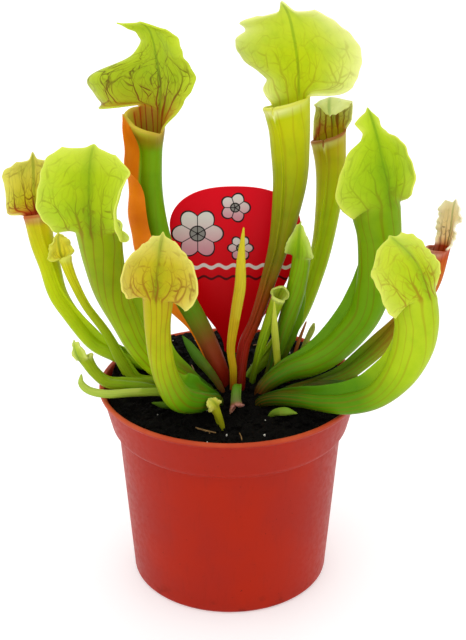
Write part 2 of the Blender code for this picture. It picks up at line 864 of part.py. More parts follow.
def hood_rows(leaf, arc, radius, forward, front, right, rows):
    """The hood's outer face: rows that start as the tube's back and open fast into waved lobes.

    Each row is a curve laid out from the middle to both edges by its turning angle, which bends
    it forward as a cup or rolls its edges back. The rows climb a middle line that arches over the
    mouth, and their ends hang down as the lobes do.
    """
    hood = leaf["hood"]
    fine = 8
    v = np.linspace(0.0, 1.0, rows + 1) ** ROWS_POWER
    u = np.linspace(-1.0, 1.0, BACK_COLUMNS * fine + 1)
    neck = radius * NECK_HALF_ANGLE
    widths = [through(leaf[side], v) for side in ("minus", "plus")]
    opening = eased(v, *OPENING)[:, None]
    wanted = np.where(u < 0, widths[0], widths[1])
    half_width = np.maximum(neck + (wanted - neck) * opening, LEAST_HALF_WIDTH)
    opened = eased(v, *CUPPING)[:, None]
    curve = NECK_HALF_ANGLE * (1 - opened) + sided(hood["cup"], u) * opened
    rolled = (eased(v, *ROLLING) * (1 - ROLL_EASED_SHARE * eased(v, *ROLL_EASES)))[:, None]
    rolled = rolled * sided(hood["reflex"], u)
    turn = curve * u - rolled * ROLL_GAIN * u * np.abs(u) ** 3
    step = half_width * (u[1] - u[0])
    sums = [np.cumsum(step * part, axis=1) for part in (np.cos(turn), np.sin(turn))]
    middle = BACK_COLUMNS * fine // 2
    sideways, ahead = (total[:, ::fine] - total[:, middle : middle + 1] for total in sums)
    u = u[::fine]
    curl = math.radians(hood["curl"]) * eased(v, *CURLING)
    lean = np.radians(hood["lean"] + hood["arch"] * v**ARCH_POWER) + curl
    rise = (np.diff(v) * hood["height"])[:, None]
    upward = np.cos(lean)[:, None] * forward + np.sin(lean)[:, None] * front
    outward = np.cos(lean)[:, None] * front - np.sin(lean)[:, None] * forward
    climb = np.vstack([[0, 0, 0], np.cumsum((upward[:-1] + upward[1:]) / 2 * rise, axis=0)])
    spine = arc[BACK_COLUMNS // 2] + climb + (hood["sway"] * v**SWAY_POWER)[:, None] * right
    low, high = leaf["droop"]
    hang_low = (eased(v, *LOW_HANGS) * (1 - eased(v, *LOW_ENDS)))[:, None] * sided(low, u)
    hang_high = sided(high, u) * eased(v, *HIGH_HANGS)[:, None]
    hang = (hang_low + hang_high) * np.abs(u) ** HANG_POWER
    shape = eased(v, *RIPPLE_STARTS) * (1 - eased(v, *RIPPLE_ENDS))
    ripple = leaf["ripple"] * np.abs(u) ** 2 * shape[:, None]
    ripple = ripple * np.sin(2 * math.pi * (leaf["waves"] * v[:, None] + RIPPLE_PHASE * np.sign(u)))
    point = hood["point"] * np.exp(-((u / POINT_HALF_WIDTH) ** 2)) * eased(v, *CURLING)[:, None]
    points = (
        spine[:, None]
        + sideways[..., None] * right
        + (ahead + ripple)[..., None] * outward[:, None]
        + (point - hang)[..., None] * upward[:, None]
    )
    offset = arc - points[0]
    turn = turn[:, ::fine]
    inward = np.cos(turn)[..., None] * outward[:, None] - np.sin(turn)[..., None] * right
    points = points + (1 - eased(v, *JOINING))[:, None, None] * offset
    square = unit(np.cross(np.gradient(points, axis=0), np.gradient(points, axis=1)))
    return points, unit(square + HOOD_SMOOTHING * inward)


def pitcher(name, leaf, colour):
    """One closed shell: tube with its wing outside, throat inside, and the hood as a thin blade."""
    rings, throat_rings, rows = SMALL_GRID if name in SMALL_PITCHERS else LARGE_GRID
    path = along(leaf["spine"], rings)
    share = np.linspace(0.0, 1.0, rings)
    low, high = leaf["faces"]
    forward, front, right = frames(path, low + (high - low) * eased(share, TURN_START, 1.0))
    outer = tube_rings(leaf, path, forward, front, right, 0.0)
    inner = tube_rings(leaf, path, forward, front, right, TUBE_WALL)[-1 : -throat_rings - 1 : -1]
    neck = slice(0, BACK_COLUMNS + 1)
    hood_out, inward = hood_rows(leaf, outer[-1, neck], path[-1, 3], forward[-1], front[-1], right[-1], rows)
    blade = BLADE + (TUBE_WALL - BLADE) * (1 - eased(np.linspace(0, 1, rows + 1), *THINNING))
    hood_in = hood_out + inward * blade[:, None, None]
    blocks = [outer, inner, hood_out[1:], hood_in[1:], path[:1, :3], inner[-1:].mean(axis=1)]
    points = np.concatenate([block.reshape(-1, 3) for block in blocks])
    starts = np.cumsum([0] + [block.reshape(-1, 3).shape[0] for block in blocks])
    index = [start + np.arange(block.shape[0] * block.shape[1]).reshape(block.shape[:2])
             for start, block in zip(starts, blocks[:4])]
    tube, throat, back, face = index
    back = np.vstack([tube[-1:, neck], back])
    face = np.vstack([throat[:1, neck], face])
    lip = np.concatenate([np.arange(BACK_COLUMNS, tube.shape[1]), [0]])
    mirrored = np.arange(tube.shape[1]) >= fin_columns().start + FIN_COLUMNS // 2
    triangles = [
        grid_triangles(tube, closed=True, mirrored=mirrored),
        grid_triangles(throat, closed=True, mirrored=~mirrored),
        grid_triangles(back, closed=False),
        grid_triangles(face, closed=False, flip=True),
        fan(tube[0], starts[4])[:, ::-1],
        fan(throat[-1], starts[5]),
        strip(tube[-1, lip], throat[0, lip]),
        strip(back[:, 0], face[:, 0]),
        strip(face[:, -1], back[:, -1]),
        strip(back[-1], face[-1]),
    ]
    return solid(name, points, np.concatenate(triangles), colour)


def closed_tube(name, points, colour):
    """Rings of points joined to a tube with both ends closed."""
    rings, sides = points.shape[:2]
    index = np.arange(rings * sides).reshape(rings, sides)
    ends = np.vstack([points[0].mean(axis=0), points[-1].mean(axis=0)])
    everything = np.vstack([points.reshape(-1, 3), ends])
    triangles = [
        grid_triangles(index, closed=True),
        fan(index[0], index.size)[:, ::-1],
        fan(index[-1], index.size + 1),
    ]
    return solid(name, everything, np.concatenate(triangles), colour)


def blade_rings(leaf, path, front, right, grow):
    """Six-sided slim sections with a keel behind."""
    angle = np.arange(6) * math.pi / 3
    wide = path[:, 3:4] + grow
    swell = np.maximum(leaf["thickness"] / 2 + path[:, 3:4] * BLADE_SWELL, BLADE_LEAST)
    thick = np.minimum(swell, path[:, 3:4] + 0.2) + grow
    keel = KEEL * path[:, 3:4] * np.cos(angle) ** 2
    return (
        path[:, None, :3]
        + (wide * np.cos(angle))[..., None] * right[:, None]
        + (thick * np.sin(angle) - keel)[..., None] * front[:, None]
    )


def blade_leaf(name, leaf, colour):
    """A leaf without a mouth: a slim keeled section that tapers to a point."""
    rings = 2 * len(leaf["spine"])
    path = along(leaf["spine"], rings)
    forward, front, right = frames(path, np.full(rings, float(leaf["faces"])))
    return closed_tube(name, blade_rings(leaf, path, front, right, 0.0), colour)


def stem_space(name, leaf):
    """The hole that a leaf stands in: its own section grown by the clearance, up to where it is free."""
    if "wing" in leaf:
        rings = (SMALL_GRID if name in SMALL_PITCHERS else LARGE_GRID)[0]
        path = along(leaf["spine"], rings)
        low, high = leaf["faces"]
        turning = low + (high - low) * eased(np.linspace(0.0, 1.0, rings), TURN_START, 1.0)
        forward, front, right = frames(path, turning)
        points = tube_rings(leaf, path, forward, front, right, -SPACE_GROWTH)[:, SPACE_COLUMNS]
    else:
        rings = 2 * len(leaf["spine"])
        path = along(leaf["spine"], rings)
        forward, front, right = frames(path, np.full(rings, float(leaf["faces"])))
        points = blade_rings(leaf, path, front, right, CLEARANCE)
    lowest = points[..., 2].min(axis=1)
    buried = lowest < soil_height(path[:, 0], path[:, 1]) + SPACE_REACH
    last = rings if buried.all() else max(int(np.argmin(buried)) + 1, 3)
    points[0] = points[0] - forward[0] * SPACE_REACH
    points[last - 1] = points[last - 1] + forward[last - 1] * SPACE_REACH
    return closed_tube(name + "_space", points[:last], (1, 1, 1))


def cut(thing, cutters):
    """Takes the cutters out of a solid, one exact Boolean each, and removes them."""
    for cutter in cutters:
        modifier = thing.modifiers.new("cut", "BOOLEAN")
        modifier.object = cutter
        modifier.operation = "DIFFERENCE"
        bpy.context.view_layer.objects.active = thing
        bpy.ops.object.modifier_apply(modifier=modifier.name)
        bpy.data.objects.remove(cutter)


def turned(name, profile, segments, colour, roughness=0.5):
    """A solid of revolution from a profile that starts and ends on the axis."""
    profile = np.array(profile, float)
    angle = np.arange(segments) * 2 * math.pi / segments
    rings = profile[1:-1]
    points = np.stack(
        [
            rings[:, 0:1] * np.cos(angle),
            rings[:, 0:1] * np.sin(angle),
            np.repeat(rings[:, 1:2], segments, axis=1),
        ],
        axis=-1,
    )
    index = np.arange(len(rings) * segments).reshape(len(rings), segments)
    ends = [(0, 0, profile[0, 1]), (0, 0, profile[-1, 1])]
    everything = np.vstack([points.reshape(-1, 3), ends])
    triangles = [
        grid_triangles(index, closed=True),
        fan(index[0], index.size)[:, ::-1],
        fan(index[-1], index.size + 1),
    ]
    return solid(name, everything, np.concatenate(triangles), colour, roughness)


def pot_inside_radius(height):
    """Radius of the pot's inner wall at a height."""
    if height < STEP_HEIGHT:
        share = height / STEP_HEIGHT
        return BASE_RADIUS + (STEP_RADIUS - BASE_RADIUS) * share - POT_WALL
    share = (height - STEP_HEIGHT) / (POT_HEIGHT - STEP_HEIGHT)
    return COLLAR_FOOT_RADIUS + (RIM_RADIUS - 1.2 - COLLAR_FOOT_RADIUS) * share - POT_WALL


def pot():
    lip = LIP_THICKNESS
    profile = [
        (0, 0),
        (BASE_RADIUS - 6, 0),
        (BASE_RADIUS - 1.6, 0),
        (BASE_RADIUS - 0.3, 1.3),
        (STEP_RADIUS, STEP_HEIGHT - 1.2),
        (COLLAR_FOOT_RADIUS - 0.8, STEP_HEIGHT),
        (COLLAR_FOOT_RADIUS, STEP_HEIGHT + 1.4),
        (RIM_RADIUS - 1.5, POT_HEIGHT - lip - 1.0),
        (RIM_RADIUS, POT_HEIGHT - lip),
        (RIM_RADIUS, POT_HEIGHT - 0.5),
        (RIM_RADIUS - 0.7, POT_HEIGHT),
        (RIM_RADIUS - 2.0, POT_HEIGHT - 0.4),
        (pot_inside_radius(POT_HEIGHT - 3), POT_HEIGHT - 3),
        (pot_inside_radius(STEP_HEIGHT + 2), STEP_HEIGHT + 2),
        (pot_inside_radius(STEP_HEIGHT - 1), STEP_HEIGHT - 1),
        (pot_inside_radius(POT_FLOOR), POT_FLOOR),
        (0, POT_FLOOR),
    ]
    made = turned("pot", profile, POT_SEGMENTS, (0.42, 0.025, 0.008), 0.45)
    cutters = []
    for number in range(DRAIN_HOLES):
        angle = (number + 0.37) * 2 * math.pi / DRAIN_HOLES
        bpy.ops.mesh.primitive_cylinder_add(
            vertices=10,
            radius=DRAIN_HOLE_RADIUS * MM,
            depth=8 * MM,
            location=(
                DRAIN_CIRCLE_RADIUS * math.cos(angle) * MM,
                DRAIN_CIRCLE_RADIUS * math.sin(angle) * MM,
                POT_FLOOR / 2 * MM,
            ),
            rotation=(0, 0, 0.2 + angle * 0.7),
        )
        cutters.append(bpy.context.object)
    cut(made, cutters)
    return made


def soil_height(x, y):
    """The peat's skin: heaped behind and at the left, lumpy all over."""
    behind = eased(y, -25.0, 50.0)
    left = eased(-x, 20.0, 52.0) * eased(y, -20.0, 15.0)
    radius = np.hypot(x, y)
    crown = np.exp(-((x - CROWN[0]) ** 2 + (y - CROWN[1]) ** 2) / 700.0)
    lumps = np.sin(x * 0.41 + 1.3) * np.sin(y * 0.37 - 0.6) + 0.6 * np.sin(x * 0.93 - y * 0.71)
    rim = eased(radius, 36.0, 56.0)
    return (
        POT_HEIGHT
        - SOIL_EDGE_DROP
        + SOIL_HEAP * behind
        + SOIL_LEFT_HEAP * left
        + SOIL_CROWN_HEAP * crown
        + SOIL_LUMP * 0.5 * lumps * (1 - 0.5 * rim)
    )


def soil():
    """The peat fills the pot, with its foot on the floor and a hole for each stem and the stake."""
    angle = np.arange(SOIL_SEGMENTS) * 2 * math.pi / SOIL_SEGMENTS
    inside = (pot_inside_radius(STEP_HEIGHT + 6) - CLEARANCE) * math.cos(math.pi / POT_SEGMENTS)
    radii = inside * np.linspace(1.0, 0.0, SOIL_RINGS + 1)[:-1]
    radii[0] = (pot_inside_radius(POT_HEIGHT - 8) - CLEARANCE) * math.cos(math.pi / POT_SEGMENTS) - 0.3
    x = radii[:, None] * np.cos(angle)
    y = radii[:, None] * np.sin(angle)
    top = np.stack([x, y, soil_height(x, y)], axis=-1)
    top[0, :, 2] = np.minimum(top[0, :, 2], POT_HEIGHT - 4.0)
    low = []
    for height in (STEP_HEIGHT + 3.0, STEP_HEIGHT - 1.2, POT_FLOOR + CLEARANCE):
        reach = (pot_inside_radius(height) - CLEARANCE) * math.cos(math.pi / POT_SEGMENTS)
        ring = [reach * np.cos(angle), reach * np.sin(angle), np.full_like(angle, height)]
        low.append(np.stack(ring, axis=-1))
    rings = np.concatenate([np.stack(low[::-1]), top])
    index = np.arange(rings.shape[0] * rings.shape[1]).reshape(rings.shape[:2])
    ends = [(0, 0, POT_FLOOR + CLEARANCE), (0, 0, float(soil_height(0.0, 0.0)))]
    everything = np.vstack([rings.reshape(-1, 3), ends])
    triangles = [
        grid_triangles(index, closed=True),
        fan(index[0], index.size)[:, ::-1],
        fan(index[-1], index.size + 1),
    ]
    made = solid("soil", everything, np.concatenate(triangles), (0.012, 0.008, 0.006), 0.95)
    cutters = []
    for name, leaf in {**PITCHERS, **BLADES}.items():
        cutters.append(stem_space(name, leaf))
    cutters.append(card("card_space", CLEARANCE))
    cut(made, cutters)
    return made


def card_outline():
    """Half widths of the picture card against height: a broad rounded head that runs into its stake."""
    dome = CARD_TOP - CARD_MIDDLE
    heights = [STAKE_FOOT, STAKE_FOOT + 8]
    halves = [0.8, STAKE_HALF_WIDTH]
    for height, half in CARD_SHOULDERS:
        heights.append(height)
        halves.append(half)
    for step in range(0, 7):
        angle = step / 6 * math.pi / 2
        heights.append(CARD_MIDDLE + dome * math.sin(angle))
        halves.append(max(CARD_HALF_WIDTH * math.cos(angle) ** 0.8, 1.5))
    return np.array(heights), np.array(halves)


def card(name="label_card", extra=0.0):
    heights, halves = card_outline()
    across = np.linspace(-1.0, 1.0, 5)
    rows = []
    for side in (-1, 1):
        x = CARD_CENTRE_X + (halves[:, None] + extra) * across
        lift = heights - CARD_MIDDLE
        y = CARD_Y + lift * math.sin(CARD_LEAN) + side * (CARD_THICKNESS / 2 + extra)
        z = CARD_MIDDLE + lift * math.cos(CARD_LEAN)
        rows.append(np.stack([x, np.repeat(y[:, None], 5, 1), np.repeat(z[:, None], 5, 1)], axis=-1))
    front, back = rows
    if extra:
        front[0, :, 2] -= extra
        back[0, :, 2] -= extra
    points = np.concatenate([front.reshape(-1, 3), back.reshape(-1, 3)])
    count = len(heights) * 5
    ahead = np.arange(count).reshape(-1, 5)
    behind = ahead + count
    triangles = [
        grid_triangles(ahead, closed=False),
        grid_triangles(behind, closed=False, flip=True),
        strip(ahead[:, 0], behind[:, 0]),
        strip(behind[:, -1], ahead[:, -1]),
        strip(ahead[-1], behind[-1]),
        strip(behind[0], ahead[0]),
    ]
    return solid(name, points, np.concatenate(triangles), (0.55, 0.004, 0.015), 0.35)


LIME = (0.42, 0.56, 0.03)
GREEN = (0.16, 0.33, 0.02)
YELLOW = (0.62, 0.58, 0.10)
DRY = (0.55, 0.30, 0.10)
DARK_GREEN = (0.06, 0.15, 0.015)
LEAF_COLOURS = {
    "pitcher_front_left": YELLOW,
    "pitcher_dry": DRY,
    "pitcher_bud": YELLOW,
    "pitcher_small": GREEN,
    "leaf_young": GREEN,
    "spike_tall": YELLOW,
    "spike_short": YELLOW,
    "leaf_inner": DARK_GREEN,
    "blade_right": DARK_GREEN,
    "blade_left": DARK_GREEN,
    "twig": (0.25, 0.05, 0.02),
}


def main():
    for thing in list(bpy.data.objects):
        bpy.data.objects.remove(thing)
    pot()
    soil()
    card()
    for name, leaf in PITCHERS.items():
        pitcher(name, leaf, LEAF_COLOURS.get(name, LIME))
    for name, leaf in BLADES.items():
        blade_leaf(name, leaf, LEAF_COLOURS.get(name, GREEN))


if __name__ == "__main__":
    main()
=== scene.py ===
"""Looks of the potted trumpet pitcher plant: leaves, peat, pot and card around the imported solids.

Sizes in the tables are millimetres and every mesh is in metres. Each leaf is a surface worked out
on a grid of "along" and "around", from the same spine and hood values as its solid.
"""

import math

import bmesh
import bpy
import numpy as np
from bpy.props import FloatProperty, FloatVectorProperty, IntProperty, PointerProperty
from mathutils import Euler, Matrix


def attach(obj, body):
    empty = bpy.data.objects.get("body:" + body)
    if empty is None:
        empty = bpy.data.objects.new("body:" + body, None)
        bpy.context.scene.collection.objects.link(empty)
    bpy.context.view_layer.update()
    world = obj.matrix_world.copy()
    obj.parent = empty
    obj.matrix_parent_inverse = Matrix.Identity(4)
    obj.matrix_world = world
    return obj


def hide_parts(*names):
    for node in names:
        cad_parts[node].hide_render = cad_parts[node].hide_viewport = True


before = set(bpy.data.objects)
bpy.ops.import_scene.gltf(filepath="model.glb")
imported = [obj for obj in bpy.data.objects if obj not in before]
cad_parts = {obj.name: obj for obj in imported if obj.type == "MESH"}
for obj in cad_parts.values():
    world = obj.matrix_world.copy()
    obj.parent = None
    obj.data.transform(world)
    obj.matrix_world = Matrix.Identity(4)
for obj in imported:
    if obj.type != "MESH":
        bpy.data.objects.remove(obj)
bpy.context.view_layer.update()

bl_info = {
    "name": "Potted trumpet pitcher plant",
    "version": (1, 0, 0),
    "blender": (4, 5, 0),
    "location": "3D View > Sidebar > Pitcher plant",
    "description": "Builds a clump of hooded pitcher leaves in a moulded nursery pot",
    "category": "Add Mesh",
}

MM = 0.001

# How finely the leaves are divided: columns of the hood's arc, of each side of the mouth and of the wing;
# then rings, throat rings and hood rows of a large and of a small pitcher, and a blade's rings and sides.
BACK_COLUMNS = 56
FRONT_COLUMNS = 12
FIN_COLUMNS = 18
LARGE_GRID = (111, 24, 60)
SMALL_GRID = (61, 14, 28)
BLADE_GRID = (56, 20)

# Angles, millimetres and shares of the tube's length that all tubes and wings have in common.
NECK_HALF_ANGLE = math.radians(84.0)
TURN_START = 0.45
MOUTH_START = 0.86
LIP_START = 0.975
LIP_ROLL = 1.0
LIP_STEPS = 7
FIN_HALF_THICKNESS = 0.4
FIN_LEAST = 0.35
WING_RISE = 0.38
WING_FALL = 0.35
WING_FLATNESS = 0.6
WING_WAVES = 2.2
SMALL_WAVES = 7.3
WING_FRILL = 0.06
FIN_SHARE = 0.25
LEAST_BEND = 1e-6

# The same for the hoods: u runs from side to side and v from the neck to the tip.
HOOD_SMOOTHING = 0.5
HOOD_ROW_CROWDING = 1.2
HOOD_OPEN = 0.14
HOOD_ROLL = 2.2
HOOD_ARCH_POWER = 1.2
SWAY_POWER = 1.5
HANG_POWER = 1.7
POINT_WIDTH = 0.18
SIDE_PHASE = 0.21
DENT_SHARE = 0.35
LEAST_HALF_WIDTH = 1.2
LIP_END_COLUMNS = 6.0

# Where colours lie: millimetres over which edge and lip fade, the blush's middle and spread, and how far
# the pattern space widens with the hood and along the wing.
EDGE_FADE = 1.1
LIP_FADE = 0.8
BLUSH_ACROSS = (0.8, 0.3)
BLUSH_UP = (0.06, 0.09)
THROAT_BLUSH = (-0.1, 0.5)
GRAIN_SPREAD = 0.6
WING_GRAIN = 3

# The leaf's own pattern space: a drum of this radius, squeezed along the leaf so that its cells are long.
GRAIN_RADIUS = 6.0
GRAIN_ALONG_TUBE = 0.16
GRAIN_ALONG_HOOD = 0.35
RIBS_ROUND_LEAF = 13
BRANCH_SPACING = 7.0
BRANCH_SLOPE = 1.0


def pitcher_leaf(spine, faces, minus, plus, look, **changes):
    """The values of one pitcher. minus and plus are its hood's half widths from neck to tip on both sides."""
    leaf = dict(
        spine=spine, faces=faces, minus=minus, plus=plus, look=look, small=False,
        wing=2.5, wing_foot=0.05, wing_curl=0, wing_top=0.9, wing_wave=0.0, lip_drop=1.5, lip_tilt=0.0,
        flare=0.2, height=40, arch=40, lean=0, sway=0, cup=(0.4, 0.4), reflex=(0.8, 0.8), curl=0, point=2.0,
        low=(3.0, 3.0), high=(3.0, 3.0), ripple=1.2, waves=2.0, frill=0.35, nicks=(),
    )
    unknown = set(changes) - set(leaf)
    if unknown:
        raise ValueError(f"no leaf value is called {sorted(unknown)}")
    leaf.update(changes)
    return leaf


def leaf_look(tones, vein, nets, edge, wing=None, blush=(0.0, 0.0), blush_colour="#9c2a10", rough=0.4,
              margin=0.6, lip=None, patches=0.4):
    """A leaf's colours: tones from foot (0) through mouth (1) to tip (2), veins, their strengths on the
    tube, on the hood's back and inside, and the colours of the hood's edge and of the wing. margin is the
    strength of the hood's broad pale border, patches that of the darker clouds, and lip the colour of the
    rolled lip where it isn't the edge's."""
    return dict(tones=tones, vein=vein, nets=nets, edge=edge, wing=wing, blush=blush,
                blush_colour=blush_colour, rough=rough, margin=margin, lip=lip or edge, patches=patches)


# The near-black first stops of the right, front_right, front_left and left tones are painted shade where the
# leaves crowd together at the crown; they are darker than these leaves' own bases.
LOOKS = {
    "rear_left": leaf_look(
        [(0.0, "#5c0c06"), (0.1, "#8a1c0c"), (0.2, "#84401a"), (0.32, "#5f8410"), (0.5, "#6a9e0a"),
         (0.9, "#7aa808"), (1.0, "#a8801c"), (1.15, "#a8ac14"), (1.4, "#a8bc12"), (2.0, "#b8d022")],
        "#4a1c08", (0.1, 0.45, 1.0), "#ccdc3c", wing=("#cc6008", "#f48e10"), blush=(0.9, 0.55),
        blush_colour="#b83c10", lip="#ccac40"),
    "centre": leaf_look(
        [(0.0, "#4a0804"), (0.2, "#98180c"), (0.34, "#984010"), (0.48, "#78700a"), (0.7, "#949c08"),
         (0.92, "#c4c808"), (1.1, "#c4d20c"), (1.5, "#c4d412"), (2.0, "#cede3c")],
        "#7c5a0e", (0.22, 0.4, 0.36), "#f0f4a0", margin=0.8, lip="#d4d43c"),
    "rear_right": leaf_look(
        [(0.0, "#4c7c0c"), (0.3, "#98bc0a"), (0.75, "#b0c00a"), (0.97, "#bcac14"), (1.04, "#dcc01c"),
         (1.12, "#d4cc3c"), (1.4, "#dce07c"), (2.0, "#e0e8a4")],
        "#542c0c", (0.2, 0.3, 0.9), "#d8dc80", blush=(0.3, 1.0), blush_colour="#b81c08", lip="#9c380c"),
    "right": leaf_look(
        [(0.0, "#300c08"), (0.06, "#48280a"), (0.15, "#447408"), (0.3, "#68980a"), (0.6, "#70a008"),
         (1.0, "#86a80a"), (1.25, "#a6c40c"), (1.6, "#b0cc10"), (2.0, "#bcd624")],
        "#4c540a", (0.35, 0.4, 0.4), "#dce45c", margin=0.4),
    "front_right": leaf_look(
        [(0.0, "#141a06"), (0.12, "#284a08"), (0.32, "#4c8008"), (0.5, "#5c8e08"), (0.72, "#acc818"),
         (1.0, "#b8cc24"), (1.25, "#b4c80c"), (1.6, "#bece14"), (2.0, "#ccda3c")],
        "#8c4c14", (0.28, 0.65, 0.5), "#e0e868"),
    "front_left": leaf_look(
        [(0.0, "#141f08"), (0.15, "#44780a"), (0.4, "#5a9408"), (0.68, "#a8b40a"), (1.0, "#bcaa10"),
         (1.2, "#c4a814"), (1.6, "#c8b420"), (2.0, "#dcd468")],
        "#7c3410", (0.4, 0.75, 0.9), "#e6dc70", margin=0.65),
    "dry": leaf_look(
        [(0.0, "#1c2c08"), (0.2, "#3c5c0a"), (0.45, "#6c9010"), (0.62, "#9c7c18"), (0.78, "#c0701c"),
         (0.93, "#c8641c"), (1.0, "#b83c10"), (1.06, "#e8a060"), (1.2, "#ffd49c"), (2.0, "#ffe4b4")],
        "#5c2c10", (0.35, 0.5, 0.8), "#fff4d8", rough=0.6, lip="#a83c14", patches=0.1),
    "left": leaf_look(
        [(0.0, "#201408"), (0.12, "#3c640a"), (0.35, "#98bc08"), (0.8, "#8ca008"), (1.0, "#98b008"),
         (1.25, "#acc608"), (1.7, "#b8ce14"), (2.0, "#ccdc40")],
        "#5c440a", (0.45, 0.6, 0.6), "#dce860", margin=0.4),
    "far_left": leaf_look(
        [(0.0, "#203408"), (0.15, "#54800a"), (0.3, "#8cb408"), (0.75, "#bccc06"), (0.965, "#ccc010"),
         (0.99, "#a84818"), (1.03, "#b83c14"), (1.12, "#ccac1c"), (1.3, "#d0c41c"), (2.0, "#dcd454")],
        "#5c0c04", (0.12, 0.6, 1.0), "#e0dc70", blush=(0.9, 0.9), blush_colour="#b82c10", lip="#b0401c",
        margin=0.4),
    "small": leaf_look([(0.0, "#2f540c"), (0.5, "#7ca40e"), (1.0, "#a0b818"), (2.0, "#bccc3c")],
                       "#6c5a14", (0.2, 0.3, 0.4), "#d2dc70"),
    "young": leaf_look(
        [(0.0, "#3c2c0c"), (0.25, "#35600a"), (0.6, "#6a960a"), (1.0, "#8cb40c"), (1.4, "#a2c410"),
         (2.0, "#bcd030")],
        "#54640c", (0.3, 0.3, 0.3), "#d4e27c"),
    "bud": leaf_look(
        [(0.0, "#5c8408"), (0.6, "#92b40a"), (0.95, "#d4d418"), (1.2, "#f4ea30"), (2.0, "#fcf058")],
        "#6c6414", (0.25, 0.4, 0.4), "#d8dc58"),
    "baby": leaf_look(
        [(0.0, "#2f6410"), (0.7, "#4c8414"), (0.93, "#6c7a3c"), (1.0, "#945040"), (2.0, "#a8705c")],
        "#5c5a1c", (0.1, 0.3, 0.3), "#b0786a"),
    "frilly": leaf_look([(0.0, "#7c8c10"), (1.0, "#b0b41a"), (2.0, "#d2ce4c")],
                        "#7c6414", (0.2, 0.3, 0.4), "#dcd86c"),
}

